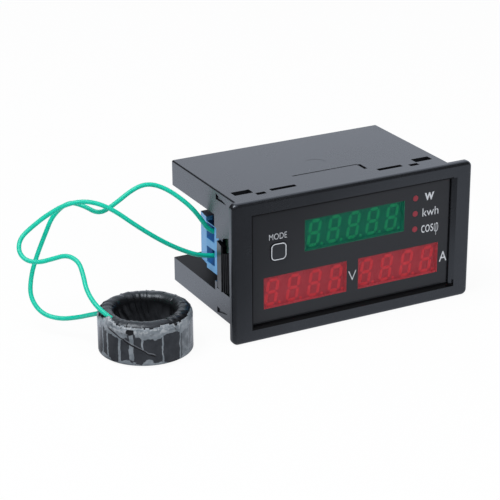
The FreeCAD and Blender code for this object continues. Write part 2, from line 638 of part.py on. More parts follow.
def digit_prisms(colour, count, pitch, below_middle):
    """The light bars and points of one display, as prisms let into its face."""
    (left, right), (low, high) = colour_windows[colour]
    middle = (left.value + right.value) / 2
    up_middle = (low.value + high.value) / 2 + ORIGIN_BELOW.value - below_middle.value
    front = s.display_front.value - ORIGIN_BEHIND.value
    lean = math.tan(math.radians(s.digit_slant.value))
    sink = Vector(0, s.segment_depth.value, 0)
    prisms = []
    for number in range(count):
        centre = middle + (number - (count - 1) / 2) * pitch.value + s.digits_aside.value
        for outline in segment_outlines():
            corners = [Vector(centre + x + z * lean, front, up_middle + z) for x, z in outline]
            face = Part.Face(Part.makePolygon(corners + corners[:1]))
            prisms.append(face.extrude(sink))
        below = s.digit_height.value / 2 - s.point_radius.value
        aside = s.digit_width.value / 2 + s.point_radius.value + s.point_aside.value
        point = Vector(centre + aside - below * lean, front, up_middle - below)
        prisms.append(Part.makeCylinder(s.point_radius.value, s.segment_depth.value, point,
                                        Vector(0, 1, 0)))
    return prisms


def make_display(colour, label, count, pitch, below_middle):
    """One LED display: a cast body, and the light bars in its face."""
    across, up = colour_windows[colour]
    block = box(f"{colour}_display_block", grown(across, s.display_border),
                (s.display_front, s.display_board_front), grown(up, s.display_border))
    bars = own_shape(f"{colour}_bars", Part.makeCompound(digit_prisms(colour, count, pitch,
                                                                      below_middle)))
    keep(cut(f"{colour}_display_cut", block, bars), f"{label}_body")
    keep(bars, f"{label}_segments")


def display_pin_rods():
    """Two rows of pins behind each display, through the display board."""
    rods = []
    for colour, (across, up) in colour_windows.items():
        middle = (across[0] + across[1]) / 2
        pins = int((across[1].value - across[0].value) / s.display_pin_pitch.value / 2) * 2
        for row, level in enumerate((up[0] + s.display_pin_inset, up[1] - s.display_pin_inset)):
            for number in range(pins):
                aside = s.display_pin_pitch * (number - (pins - 1) / 2)
                rods.append(rod(f"pin_{colour}_{row}_{number}", "deep", s.display_pin_radius,
                                (s.display_board_front, display_board_rear + s.display_pin_tail),
                                middle + aside, level))
    return rods


def make_lamps():
    """Three indicator lamps on one spacer block."""
    lamps = []
    for number, up in enumerate(lamp_ups):
        tip = rod(f"lamp_tip_{number}", "deep", s.lamp_tip_radius,
                  (s.lens_recess, s.lamp_base_front + s.lamp_hole_gap), s.lamp_across, up)
        base = rod(f"lamp_base_{number}", "deep", s.lamp_base_radius,
                   (s.lamp_base_front, s.lamp_base_rear), s.lamp_across, up)
        lamps.append(fuse(f"lamp_{number}", tip, base))
    keep(group("lamp_group", *lamps), "indicator_leds")
    reach = s.lamp_base_radius + s.lamp_hole_gap
    keep(box("lamp_spacer_block", around(s.lamp_across, s.lamp_spacer_width),
             (s.lamp_base_rear, s.display_board_front), (lamp_ups[2] - reach, lamp_ups[0] + reach)),
         "led_spacer")


def make_key():
    """The mode key, its switch and the plunger between them."""
    width, height = s.key_width, s.key_height
    front = s.lens_recess - s.key_proud
    flange_front = plate_front + s.key_flange_gap
    cap = box("key_cap", around(key_middle[0], width), (front, s.key_rear),
              around(key_middle[1], height))
    cap = ease("Part::Fillet", "key_cap_corners", cap, s.key_corner, runs_along(Vector(0, 1, 0)))
    flange = box("key_flange", around(key_middle[0], width + s.key_flange * 2),
                 behind(flange_front, s.key_flange_thickness),
                 around(key_middle[1], height + s.key_flange * 2))
    keep(fuse("key_final", cap, flange), "mode_button")
    keep(rod("plunger_rod", "deep", s.plunger_radius, behind(s.key_rear, s.plunger_length),
             *key_middle), "mode_switch_plunger")
    room = s.key_rear + s.plunger_length + s.key_travel + s.plunger_room
    case = box("switch_block", around(key_middle[0], s.switch_size),
               (s.switch_front, s.display_board_front), around(key_middle[1], s.switch_size))
    bore = rod("switch_bore", "deep", s.plunger_radius + s.plunger_gap,
               (s.switch_front - s.wall, room), *key_middle)
    keep(cut("switch_final", case, bore), "mode_switch_body")


def chip(name, across, deep, up, length, breadth, leads, facing):
    """A flat chip with a row of leads on each long side; facing is the side the body rises to."""
    height = s.chip_height
    body = box(f"{name}_case", around(across, length), span(deep, deep + facing * height),
               around(up, breadth))
    solids = [body]
    for row in (BOTTOM, TOP):
        for number in range(leads):
            aside = s.chip_lead_pitch * (number - (leads - 1) / 2)
            edge = up + row * breadth / 2
            solids.append(box(f"{name}_lead_{'t' if row == TOP else 'b'}_{number}",
                              around(across + aside, s.chip_lead_breadth),
                              span(deep, deep + facing * s.chip_lead_thickness),
                              span(edge, edge + row * s.chip_lead_reach)))
    return keep(group(f"{name}_group", *solids), name)


def header_pin_rods():
    count = int(s.header_pins.value)
    return [
        rod(f"header_pin_{number}", "deep", s.header_pin_radius,
            (s.display_board_front - s.header_tail, main_board_rear + s.header_tail),
            s.header_pitch * (number - (count - 1) / 2), header_up)
        for number in range(count)
    ]


def make_boards():
    """Both boards with the parts that stand on them between the front plate and the case."""
    pins = display_pin_rods()
    pin_group = keep(group("display_pin_group", *pins), "display_pins")
    header_pins = header_pin_rods()
    strip = box("header_strip", around(0, s.header_pitch * s.header_pins),
                behind(display_board_rear, s.header_height), around(header_up, s.header_breadth))
    header_tools = fuse("header_pin_tools", *header_pins)
    keep(group("header_group", cut("header_strip_cut", strip, header_tools), *header_pins),
         "board_header")
    sheet_block = box("display_board_block", around(0, s.display_board_width),
                      (s.display_board_front, display_board_rear),
                      around(0, display_board_height))
    half_up = display_board_height / 2
    passages = [
        box(f"rib_passage_{clip_side(side)}_{'t' if level == TOP else 'b'}",
            around(side * s.rib_across, s.rib_breadth + s.rib_gap * 2),
            (s.display_board_front - s.wall, display_board_rear + s.wall),
            span(level * (skirt_inner_up - s.rib_height - s.rib_gap), level * (half_up + s.wall)))
        for side in (LEFT, RIGHT) for level in (BOTTOM, TOP)
    ]
    screw_holes = [
        rod(f"board_hole_{number}", "deep", s.screw_shank_radius + s.screw_hole_gap,
            (s.display_board_front - s.wall, display_board_rear + s.wall), across, up)
        for number, (across, up) in enumerate(board_posts)
    ]
    keep(cut("display_board_final", sheet_block, *passages, *screw_holes, *pins, header_tools),
         "display_board")
    screws = []
    for number, (across, up) in enumerate(board_posts):
        shank = rod(f"board_screw_shank_{number}", "deep", s.screw_shank_radius,
                    (display_board_rear - s.screw_length + s.screw_hole_gap, display_board_rear),
                    across, up)
        head = rod(f"board_screw_head_{number}", "deep", s.screw_head_radius,
                   behind(display_board_rear, s.screw_head_height), across, up)
        screws.append(fuse(f"board_screw_{number}", shank, head))
    keep(group("board_screw_group", *screws), "display_board_screws")
    chip("display_driver_chip", as_size(0), display_board_rear, s.driver_up,
         s.driver_length, s.driver_breadth, int(s.driver_leads.value), RIGHT)
    chip("controller_chip", s.controller_across, s.main_board_front, s.controller_up,
         s.controller_length, s.controller_breadth, int(s.controller_leads.value), LEFT)
    chip("metering_chip", s.metering_across, s.main_board_front, s.metering_up,
         s.metering_length, s.metering_breadth, int(s.metering_leads.value), LEFT)
    can = box("crystal_block", around(s.crystal_across, s.crystal_length),
              (s.main_board_front - s.crystal_height, s.main_board_front),
              around(s.crystal_up, s.crystal_breadth))
    keep(ease("Part::Fillet", "crystal_can", can, s.crystal_breadth * CRYSTAL_ROUND_SHARE,
              runs_along(Vector(0, 1, 0))), "crystal")
    resistors = [
        box(f"resistor_{number}", around(s.resistor_across, s.resistor_length),
            (s.main_board_front - s.resistor_height, s.main_board_front),
            around(s.resistor_up + s.resistor_pitch * number, s.resistor_breadth))
        for number in range(int(s.resistor_count.value))
    ]
    keep(group("resistor_group", *resistors), "burden_resistors")
    main_block = box("main_board_block", around(0, s.main_board_width),
                     (s.main_board_front, main_board_rear), around(0, main_board_height))
    leg_ways = [
        box(f"leg_way_{clip_side(side)}_{pole}",
            span(side * (s.contact_leg_outer - s.contact_thickness - s.leg_hole_gap),
                 side * (s.contact_leg_outer + s.leg_hole_gap)),
            (s.main_board_front - s.wall, main_board_rear + s.wall),
            around(pole_up(pole), (s.contact_leg_half + s.leg_hole_gap) * 2))
        for side in (LEFT, RIGHT) for pole in (BOTTOM, TOP)
    ]
    keep(cut("main_board_final", main_block, header_tools, *leg_ways), "main_board")


def pole_up(pole):
    """The height of one terminal pole."""
    return pole * s.pole_pitch / 2


def make_transformer():
    """The supply's transformer: a split core, its bobbin and the wound coil."""
    middle = s.transformer_up
    front = main_board_rear + s.bobbin_base
    leg = s.core_leg / 2
    window = (front + s.core_yoke, front + s.core_depth - s.core_yoke)
    window_outer = s.core_width / 2 - s.core_yoke
    block = box("core_block", around(0, s.core_width), behind(front, s.core_depth),
                around(middle, s.core_thickness))
    windows = [box(f"core_window_{clip_side(side)}", span(side * leg, side * window_outer), window,
                   around(middle, s.core_thickness + s.wall * 2)) for side in (LEFT, RIGHT)]
    keep(cut("core_final", block, *windows), "transformer_core")
    tube_across = (leg + s.bobbin_gap + s.bobbin_wall) * 2
    tube_up = (s.core_thickness / 2 + s.bobbin_gap + s.bobbin_wall) * 2
    inside = grown(window, -s.bobbin_gap)
    tube = box("bobbin_tube", around(0, tube_across), inside, around(middle, tube_up))
    flange_across = (window_outer - s.bobbin_gap) * 2
    flange_up = s.bobbin_flange_up * 2
    front_flange = box("bobbin_front_flange", around(0, flange_across),
                       behind(inside[0], s.bobbin_wall), around(middle, flange_up))
    rear_flange = box("bobbin_rear_flange", around(0, flange_across),
                      (inside[1] - s.bobbin_wall, inside[1]), around(middle, flange_up))
    base = box("bobbin_base_plate", around(0, s.core_width), (main_board_rear, front),
               around(middle, flange_up))
    legs = [
        box(f"bobbin_leg_{'t' if level == TOP else 'b'}", around(0, flange_across),
            (main_board_rear, inside[0] + s.bobbin_wall),
            span(middle + level * (s.core_thickness / 2 + s.bobbin_gap),
                 middle + level * s.bobbin_flange_up))
        for level in (BOTTOM, TOP)
    ]
    hole = box("bobbin_hole", around(0, (leg + s.bobbin_gap) * 2),
               (front, inside[1] + s.wall), around(middle, s.core_thickness + s.bobbin_gap * 2))
    bobbin = fuse("bobbin_body", tube, front_flange, rear_flange, base, *legs)
    keep(cut("bobbin_final", bobbin, hole), "transformer_bobbin")
    coil_across = flange_across - s.coil_inset * 2
    coil = box("coil_block", around(0, coil_across),
               (inside[0] + s.bobbin_wall, inside[1] - s.bobbin_wall),
               around(middle, flange_up - s.coil_inset * 2))
    coil_hole = box("coil_hole", around(0, tube_across), (inside[0], inside[1]),
                    around(middle, tube_up))
    keep(cut("coil_final", coil, coil_hole), "transformer_coil")


def can(name, radius, length, across, up):
    """An electrolytic capacitor standing on the main board, with the groove over its seal."""
    body = rod(f"{name}_can", "deep", radius, behind(main_board_rear, length), across, up)
    groove_start = main_board_rear + s.can_groove_height
    ring = rod(f"{name}_ring", "deep", radius + s.wall, behind(groove_start, s.can_groove * 2),
               across, up)
    neck = rod(f"{name}_neck", "deep", radius - s.can_groove,
               behind(groove_start, s.can_groove * 2), across, up)
    return cut(name, body, cut(f"{name}_groove", ring, neck))


def make_supply():
    """Capacitors, varistor, fuse, rectifier and regulator behind the main board."""
    cans = [can("bulk_can", s.bulk_radius, s.bulk_length, s.bulk_across,
                s.bulk_inset - skirt_inner_up)]
    cans += [can(f"output_can_{number}", s.output_radius, s.output_length,
                 s.output_across + s.output_pitch * number, s.output_inset - skirt_inner_up)
             for number in range(2)]
    keep(group("capacitor_group", *cans), "filter_capacitors")
    film = box("film_block", around(s.film_across, s.film_width),
               behind(main_board_rear, s.film_depth),
               around(s.film_inset - skirt_inner_up, s.film_thickness))
    keep(ease("Part::Fillet", "film_case", film, s.body_edge, runs_along(Vector(0, 1, 0))),
         "film_capacitor")
    disc_deep = main_board_rear + s.varistor_lift + s.varistor_radius
    disc = rod("varistor_disc", "across", s.varistor_radius,
               around(s.varistor_across, s.varistor_thickness), disc_deep, s.varistor_up)
    leads = [rod(f"varistor_lead_{number}", "deep", s.lead_radius, (main_board_rear, disc_deep),
                 s.varistor_across, s.varistor_up + sign * s.lead_pitch / 2)
             for number, sign in enumerate((BOTTOM, TOP))]
    keep(fuse("varistor_final", disc, *leads), "varistor")
    fuse_deep = main_board_rear + s.fuse_lift + s.fuse_radius
    tube = rod("fuse_tube", "up", s.fuse_radius, around(s.fuse_up, s.fuse_length), s.fuse_across,
               fuse_deep)
    keep(tube, "fuse")
    clips = []
    for number, sign in enumerate((BOTTOM, TOP)):
        middle = s.fuse_up + sign * (s.fuse_length - s.fuse_clip_breadth) / 2
        holder = box(f"fuse_clip_block_{number}",
                     around(s.fuse_across, (s.fuse_radius + s.fuse_clip_wall) * 2),
                     (main_board_rear, fuse_deep + s.fuse_radius / 2),
                     around(middle, s.fuse_clip_breadth))
        clips.append(cut(f"fuse_clip_{number}", holder, tube))
    keep(group("fuse_clip_group", *clips), "fuse_clips")
    keep(box("bridge_block", around(s.bridge_across, s.bridge_width),
             behind(main_board_rear, s.bridge_depth), around(s.bridge_up, s.bridge_height)),
         "bridge_rectifier")
    foot = main_board_rear + s.regulator_lift
    barrel = rod("regulator_barrel", "deep", s.regulator_radius, behind(foot, s.regulator_length),
                 s.regulator_across, s.regulator_up)
    flat = box("regulator_flat", around(s.regulator_across, s.regulator_radius * 3),
               behind(foot - s.wall, s.regulator_length + s.wall * 2),
               (s.regulator_up + s.regulator_flat, s.regulator_up + s.regulator_radius * 2))
    legs = [rod(f"regulator_lead_{number}", "deep", s.regulator_lead_radius,
                (main_board_rear, foot + s.regulator_lead_radius),
                s.regulator_across + s.regulator_lead_pitch * (number - 1), s.regulator_up)
            for number in range(3)]
    keep(fuse("regulator_final", cut("regulator_case", barrel, flat), *legs), "voltage_regulator")


block_rear = s.wire_depth + s.block_behind_wire
block_shoulder = s.wire_depth + s.shoulder_behind_wire
jaw_rear = s.wire_depth - s.conductor_diameter / 2
contact_front = s.wire_depth + s.conductor_diameter / 2
nut_front = jaw_rear + s.clamp_window
head_front = block_rear - s.head_sink - s.terminal_head_height
chamber_outer = s.block_outer - s.entry_wall
chamber_inner = s.block_outer - s.block_width + s.inner_wall
chamber_rear = block_rear - s.roof_wall
chamber_front = s.split_depth + s.floor_wall


def make_terminal_block(side):
    """A two-pole block: a funnel, a clamp chamber, a screw well and a contact way at each pole."""
    name = clip_side(side)
    length = s.pole_length
    inner_face = s.block_outer - s.block_width
    profile = [(side * s.block_outer, s.split_depth), (side * s.block_outer, block_shoulder),
               (side * (s.block_outer - s.block_slope), block_rear),
               (side * inner_face, block_rear), (side * inner_face, s.split_depth)]
    block = prism(f"block_{name}_body", profile, (-length, length))
    tongue = box(f"block_{name}_tongue", span(side * (s.block_outer - s.tongue_reach),
                                              side * s.block_outer),
                 (s.split_depth, block_shoulder), (-length - s.tongue_low, -length + s.groove_gap))
    groove = box(f"block_{name}_slot", span(side * (s.block_outer - s.tongue_reach - s.groove_gap),
                                            side * (s.block_outer + s.groove_gap)),
                 (s.split_depth - s.groove_gap, block_shoulder + s.groove_gap),
                 (length - s.tongue_low - s.groove_gap, length + s.groove_gap))
    cuts = [groove]
    for pole in (BOTTOM, TOP):
        tag = f"{name}_{'t' if pole == TOP else 'b'}"
        middle = pole_up(pole)
        chamber_up = around(middle, s.pole_pitch - s.partition * 2)
        cuts.append(box(f"chamber_{tag}", span(side * chamber_outer, side * chamber_inner),
                        (chamber_front, chamber_rear), chamber_up))
        cuts.append(box(f"throat_{tag}",
                        span(side * (chamber_outer - s.groove_gap), side * (s.block_outer + s.wall)),
                        (s.wire_depth - s.wire_throat / 2, s.wire_depth + s.throat_rear),
                        around(middle, s.wire_throat_up)))
        cuts.append(funnel(tag, side, middle))
        cuts.append(rod(f"well_{tag}", "deep", s.terminal_head_radius + s.head_well_gap,
                        (head_front - s.head_well_gap, block_rear + s.wall),
                        side * s.clamp_across, middle))
        cuts.append(rod(f"screw_way_{tag}", "deep", s.terminal_screw_radius + s.leg_hole_gap,
                        (chamber_rear - s.wall, block_rear), side * s.clamp_across, middle))
        cuts.append(box(f"block_leg_way_{tag}",
                        span(side * (s.contact_leg_outer - s.contact_thickness - s.leg_hole_gap),
                             side * (s.contact_leg_outer + s.leg_hole_gap)),
                        (s.split_depth - s.wall, chamber_front + s.wall),
                        around(middle, (s.contact_leg_half + s.leg_hole_gap) * 2)))
    keep(cut(f"block_{name}_final", fuse(f"block_{name}_whole", block, tongue), *cuts),
         f"terminal_block_{name}")


def funnel(tag, side, middle):
    """The sloping mouth of one wire entry: wide at the entry face, narrow at the throat."""
    mouth = doc.addObject("Part::Wedge", f"mouth_{tag}")
    reach = s.mouth_sink + s.wall
    grow = (s.mouth_sink + s.wall) / s.mouth_sink
    narrow_deep = (s.wire_depth - s.wire_throat / 2, s.wire_depth + s.throat_rear)
    narrow_up = around(middle, s.wire_throat_up)
    wide_deep = (s.wire_depth - s.mouth_front, s.wire_depth + s.mouth_rear)
    wide_up = (middle - s.mouth_low, middle + s.mouth_high)
    deep_axis, up_axis = ("Z", "X") if side == RIGHT else ("X", "Z")
    for axis, narrow, wide, shift in ((up_axis, narrow_up, wide_up, ORIGIN_BELOW),
                                      (deep_axis, narrow_deep, wide_deep, -ORIGIN_BEHIND)):
        for end, near, far in (("min", narrow[0], wide[0]), ("max", narrow[1], wide[1])):
            tie(mouth, f"{axis}{end}", near + shift)
            tie(mouth, f"{axis}2{end}", near + (far - near) * grow + shift)
    mouth.Ymin = 0
    tie(mouth, "Ymax", reach)
    # The wedge widens along its own Y, which is turned to point out of the block's side
    turned = Rotation(Vector(1, 1, 1), 240) if side == RIGHT else Rotation(Vector(0, 0, 1), 90)
    mouth.Placement = Placement(Vector(), turned)
    tie(mouth, "Placement.Base.x", side * (s.block_outer - s.mouth_sink))
    return mouth


def make_terminal_metal(side):
    """The contacts of one block, and a screw and a rising clamp at each pole."""
    name = clip_side(side)
    contacts = []
    for pole in (BOTTOM, TOP):
        tag = f"{name}_{'upper' if pole == TOP else 'lower'}"
        middle = pole_up(pole)
        tab = box(f"contact_{tag}_tab",
                  span(side * (chamber_outer - s.contact_end_gap),
                       side * (s.contact_leg_outer - s.contact_thickness)),
                  behind(contact_front, s.contact_thickness),
                  around(middle, s.contact_half_height * 2))
        leg = box(f"contact_{tag}_leg",
                  span(side * s.contact_leg_outer,
                       side * (s.contact_leg_outer - s.contact_thickness)),
                  (s.main_board_front - s.contact_tail, contact_front + s.contact_thickness),
                  around(middle, s.contact_leg_half * 2))
        contacts.append(fuse(f"contact_{tag}", tab, leg))
        outer = box(f"clamp_{tag}_block", around(side * s.clamp_across, s.clamp_width),
                    (jaw_rear - s.clamp_jaw, nut_front + s.clamp_nut),
                    around(middle, s.clamp_half_height * 2))
        window = box(f"clamp_{tag}_window", around(side * s.clamp_across, s.clamp_width * 2),
                     (jaw_rear, nut_front),
                     around(middle, (s.clamp_half_height - s.clamp_side) * 2))
        thread = rod(f"clamp_{tag}_thread", "deep", s.terminal_screw_radius + s.running_gap,
                     (nut_front - s.wall, nut_front + s.clamp_nut + s.wall),
                     side * s.clamp_across, middle)
        keep(cut(f"clamp_{tag}_final", outer, window, thread), f"wire_clamp_{tag}")
        shank = rod(f"screw_{tag}_shank", "deep", s.terminal_screw_radius,
                    (contact_front + s.contact_thickness, head_front), side * s.clamp_across, middle)
        head = rod(f"screw_{tag}_head", "deep", s.terminal_head_radius,
                   behind(head_front, s.terminal_head_height), side * s.clamp_across, middle)
        slot = box(f"screw_{tag}_slot",
                   around(side * s.clamp_across, s.terminal_head_radius * 3),
                   (block_rear - s.head_sink - s.slot_sink, block_rear + s.wall),
                   around(middle, s.slot_width))
        keep(cut(f"screw_{tag}_final", fuse(f"screw_{tag}_body", shank, head), slot),
             f"terminal_screw_{tag}")
    keep(group(f"contacts_{name}", *contacts), f"terminal_contacts_{name}")


def ring(name, inner, outer, low, high, rounding=None):
    """A ring about the current transformer's axis, between two levels above the ground."""
    parts = []
    for tag, radius, margin in (("outer", outer, 0), ("inner", inner, s.wall)):
        drum = doc.addObject("Part::Cylinder", f"{name}_{tag}")
        tie(drum, "Radius", radius)
        tie(drum, "Height", high - low + as_size(margin) * 2)
        tie(drum, "Placement.Base.x", s.ring_across)
        tie(drum, "Placement.Base.y", s.ring_behind)
        tie(drum, "Placement.Base.z", low - margin)
        parts.append(drum)
    tube = cut(name, *parts)
    if rounding is None:
        return tube
    return ease("Part::Fillet", f"{name}_rounded", tube, rounding,
                lambda edge: isinstance(edge.Curve, Part.Circle))


def make_ring(wires):
    """The current transformer: core, winding, black tape and a clear band round the outside."""
    ground = as_size(0)
    outer = s.ring_radius - s.band_thickness
    skin = ring("tape_skin", s.ring_bore, outer, ground, s.ring_height, s.ring_round)
    inner_wall = s.tape_wall
    room = ring("tape_room", s.ring_bore + inner_wall, outer - inner_wall, inner_wall + ground,
                s.ring_height - inner_wall, s.ring_round - inner_wall)
    entries = [own_shape(f"wire_entry_{number}", wire_entry(route))
               for number, route in enumerate(wires)]
    keep(cut("tape_final", skin, room, *entries), "ct_black_tape")
    fit = inner_wall + s.ring_fit
    turns = ring("winding_outer", s.ring_bore + fit, outer - fit, fit + ground,
                 s.ring_height - fit, s.ring_round - fit)
    step = fit + s.winding_wall
    pocket = ring("winding_pocket", s.ring_bore + step, outer - step, step + ground,
                  s.ring_height - step)
    keep(cut("winding_final", turns, pocket, *entries), "ct_winding")
    seat = step + s.ring_fit
    keep(ring("core_ring", s.ring_bore + seat, outer - seat, seat + ground, s.ring_height - seat),
         "ct_core")
    band = ring("band_ring", outer, s.ring_radius, s.band_low, s.band_high)
    keep(cut("band_final", band, *entries), "ct_clear_band")


def rounded_route(points):
    """Straight runs joined by tangent arcs, each as large as its two runs allow, and the radii."""
    corners = [Vector(*point) for point in points]
    edges, radii = [], []
    start = corners[0]
    for before, corner, after in zip(corners, corners[1:], corners[2:]):
        back, ahead = before - corner, after - corner
        trim = ARC_SHARE * min(back.Length, ahead.Length)
        back.normalize()
        ahead.normalize()
        turn = math.pi - back.getAngle(ahead)
        radius = trim / math.tan(turn / 2)
        radii.append(radius)
        enter, leave = corner + back * trim, corner + ahead * trim
        bisector = back + ahead
        bisector.normalize()
        middle = corner + bisector * (math.hypot(trim, radius) - radius)
        edges.append(Part.LineSegment(start, enter).toShape())
        edges.append(Part.Arc(enter, middle, leave).toShape())
        start = leave
    edges.append(Part.LineSegment(start, corners[-1]).toShape())
    return Part.Wire(edges), radii


def tube_along(path, radius):
    """A round tube along a path."""
    first = path.Edges[0]
    ring_face = Part.Wire(Part.makeCircle(radius, first.valueAt(first.FirstParameter),
                                          first.tangentAt(first.FirstParameter)))
    return path.makePipeShell([ring_face], True, False)


def wire_entry(points):
    """The hole that a wire's last run needs in the tape."""
    end, before = Vector(*points[-1]), Vector(*points[-2])
    way = end - before
    way.normalize()
    radius = s.wire_diameter.value / 2 + s.wire_hole_gap.value
    return Part.makeCylinder(radius, ENTRY_LENGTH * radius, end - way * ENTRY_BEHIND * radius, way)


def make_wires():
    """Two insulated wires from the left terminals to the ring, and their stripped ends."""
    radius = s.wire_diameter.value / 2
    for name, points in (("ct_wire_upper", UPPER_WIRE), ("ct_wire_lower", LOWER_WIRE)):
        path, radii = rounded_route(points)
        tube = tube_along(path, radius)
        expected = math.pi * radius ** 2 * path.Length
        print(f"{name}: length {path.Length:.1f} mm, volume {tube.Volume:.2f} of {expected:.2f} mm3")
        print("  radii " + " ".join(f"{value:.1f}" for value in radii))
        keep(own_shape(name + "_tube", tube), name)
    ends = [
        rod(f"conductor_{'t' if pole == TOP else 'b'}", "across", s.conductor_diameter / 2,
            (s.strip_gap - s.strip_across, -s.conductor_end), s.wire_depth, pole_up(pole))
        for pole in (BOTTOM, TOP)
    ]
    keep(group("conductor_group", *ends), "ct_conductors")


make_front_frame()
make_rear_case()
make_lens()
make_display("green", "green_display", 5, s.green_pitch, s.green_below)
make_display("red_left", "red_display_left", 4, s.red_pitch, s.red_below)
make_display("red_right", "red_display_right", 4, s.red_pitch, s.red_below)
make_lamps()
make_key()
make_boards()
make_transformer()
make_supply()
for meter_side in (LEFT, RIGHT):
    make_side_clip(meter_side)
    make_terminal_block(meter_side)
    make_terminal_metal(meter_side)
make_ring((UPPER_WIRE, LOWER_WIRE))
make_wires()
doc.recompute()

for thing in doc.Objects:
    if "Invalid" in thing.State or "Error" in thing.State:
        raise RuntimeError(f"{thing.Name} could not be made: {thing.State}")
for piece in nodes:
    if piece.Shape.isNull() or not piece.Shape.isValid() or not piece.Shape.Solids:
        raise RuntimeError(f"{piece.Label} has no sound shape")
os.makedirs("parts", exist_ok=True)
for piece in nodes:
    piece.Shape.exportStep(f"parts/{piece.Label}.step")
    print(f"{piece.Label}: {len(piece.Shape.Solids)} solid(s), {piece.Shape.Volume:.2f} mm3")
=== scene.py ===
# %% [markdown]
# A digital panel meter is a black moulded case that snaps into a cut-out, with three small digit
# displays behind a smoked front. A ring-shaped current transformer hangs from its terminals on two
# wires. The case, blocks and boards come from the CAD model and only get finishes here. What the CAD
# model can't hold is made here: soft wires, wrapped tape, printed marks.

import json
import math

import bmesh
import bpy
from mathutils import Matrix, Vector, noise


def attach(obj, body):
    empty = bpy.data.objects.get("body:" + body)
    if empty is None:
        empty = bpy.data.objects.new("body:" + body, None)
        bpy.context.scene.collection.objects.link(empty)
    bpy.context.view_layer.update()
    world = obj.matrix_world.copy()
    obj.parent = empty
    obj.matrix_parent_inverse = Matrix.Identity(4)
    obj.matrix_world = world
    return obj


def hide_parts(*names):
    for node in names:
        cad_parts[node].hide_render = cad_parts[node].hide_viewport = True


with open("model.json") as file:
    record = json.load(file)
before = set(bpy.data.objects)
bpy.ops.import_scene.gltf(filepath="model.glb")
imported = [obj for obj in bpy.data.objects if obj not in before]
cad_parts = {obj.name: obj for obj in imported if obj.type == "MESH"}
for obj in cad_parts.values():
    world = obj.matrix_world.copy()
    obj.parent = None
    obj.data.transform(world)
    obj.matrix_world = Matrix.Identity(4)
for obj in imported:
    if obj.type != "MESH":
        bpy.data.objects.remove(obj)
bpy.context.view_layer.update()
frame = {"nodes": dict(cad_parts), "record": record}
MM = 0.001
FRONT_AT, MIDDLE_UP = -0.02425, 0.0216

# %% [markdown]
# The camera could be placed by eye. Here its place, its aim and its long lens come from the meter's
# own straight edges, so that a render can be laid over the photograph. The small roll is the tilt of
# the photographer's hand.

# %% Camera
camera = bpy.data.objects.new("camera", bpy.data.cameras.new("camera"))
bpy.context.collection.objects.link(camera)
camera.data.lens = 125.75
camera.data.sensor_width = 36.0
camera.data.clip_start = 0.01
camera.location = (-0.24443, -0.42893, 0.2142)
look_at = Vector((-0.021666, 0.00075, 0.01758))
roll = Matrix.Rotation(math.radians(-0.385), 4, "Z")
camera.rotation_euler = (
    (look_at - camera.location).to_track_quat("-Z", "Y").to_matrix().to_4x4() @ roll
).to_euler()
bpy.context.scene.camera = camera
print("camera distance:", round((look_at - camera.location).length, 4))

# %% [markdown]
# The two wires are soft and hold each other up in an arch. A wire could be a mesh tube, but a curve
# keeps its line smooth with few points: each point pulls the line towards itself. The points keep
# close to the route of the CAD wires, from inside the terminal to under the ring's tape.

# %% Wire routes
WIRE_DIAMETER = 0.00136
UPPER_WIRE = [
    (-0.0316, 0.0007, 0.02537), (-0.0345, 0.0009, 0.02520), (-0.0382, 0.0026, 0.03187),
    (-0.0408, 0.0056, 0.03511), (-0.0450, 0.0092, 0.03863), (-0.0496, 0.0109, 0.04038),
    (-0.0541, 0.0114, 0.03948), (-0.0606, 0.0118, 0.03526), (-0.0645, 0.0136, 0.03250),
    (-0.0678, 0.0175, 0.03460), (-0.0712, 0.0206, 0.03530), (-0.0756, 0.0222, 0.03140),
    (-0.0785, 0.0218, 0.02590), (-0.0818, 0.0204, 0.02060), (-0.0847, 0.0185, 0.01530),
    (-0.0866, 0.0152, 0.01020), (-0.0850, 0.0106, 0.00630), (-0.0810, 0.0064, 0.00540),
    (-0.0770, 0.0017, 0.00700), (-0.0754, -0.0028, 0.00920), (-0.0739, -0.0069, 0.01110),
]
LOWER_WIRE = [
    (-0.0316, 0.0007, 0.01784), (-0.0374, 0.0012, 0.01846), (-0.0428, 0.0035, 0.02059),
    (-0.0484, 0.0054, 0.02391), (-0.0551, 0.0070, 0.02905),
    (-0.0623, 0.0100, 0.03530), (-0.0676, 0.0134, 0.03730), (-0.0728, 0.0169, 0.03630),
    (-0.0780, 0.0194, 0.03310), (-0.0830, 0.0207, 0.02940), (-0.0867, 0.0205, 0.02670),
    (-0.0884, 0.0178, 0.02400), (-0.0876, 0.0142, 0.02220), (-0.0846, 0.0112, 0.02210),
    (-0.0813, 0.0090, 0.02340), (-0.0779, 0.0062, 0.02500), (-0.0759, 0.0025, 0.02400),
    (-0.0761, -0.0011, 0.02130), (-0.0768, -0.0047, 0.01820), (-0.0764, -0.0084, 0.01570),
    (-0.0751, -0.0117, 0.01370), (-0.0732, -0.0146, 0.01200),
]


# %% Lay the wires
def lay_wire(name, points):
    """A round wire along a smooth curve, from the terminal to the ring."""
    curve = bpy.data.curves.new(name, "CURVE")
    curve.dimensions = "3D"
    curve.bevel_depth = 1.0
    curve.bevel_resolution = 8
    curve.resolution_u = 16
    curve.use_fill_caps = True
    spline = curve.splines.new("NURBS")
    spline.points.add(len(points) - 1)
    for point, place in zip(spline.points, points):
        point.co = (*place, 1.0)
        point.radius = WIRE_DIAMETER / 2
    spline.order_u = 3
    spline.use_endpoint_u = True
    spline.use_smooth = True
    wire = bpy.data.objects.new(name, curve)
    bpy.context.collection.objects.link(wire)
    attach(wire, "meter")
    return wire


upper_wire = lay_wire("upper_wire", UPPER_WIRE)
lower_wire = lay_wire("lower_wire", LOWER_WIRE)
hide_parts("ct_wire_upper")
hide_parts("ct_wire_lower")
print("wire points:", len(UPPER_WIRE), len(LOWER_WIRE))


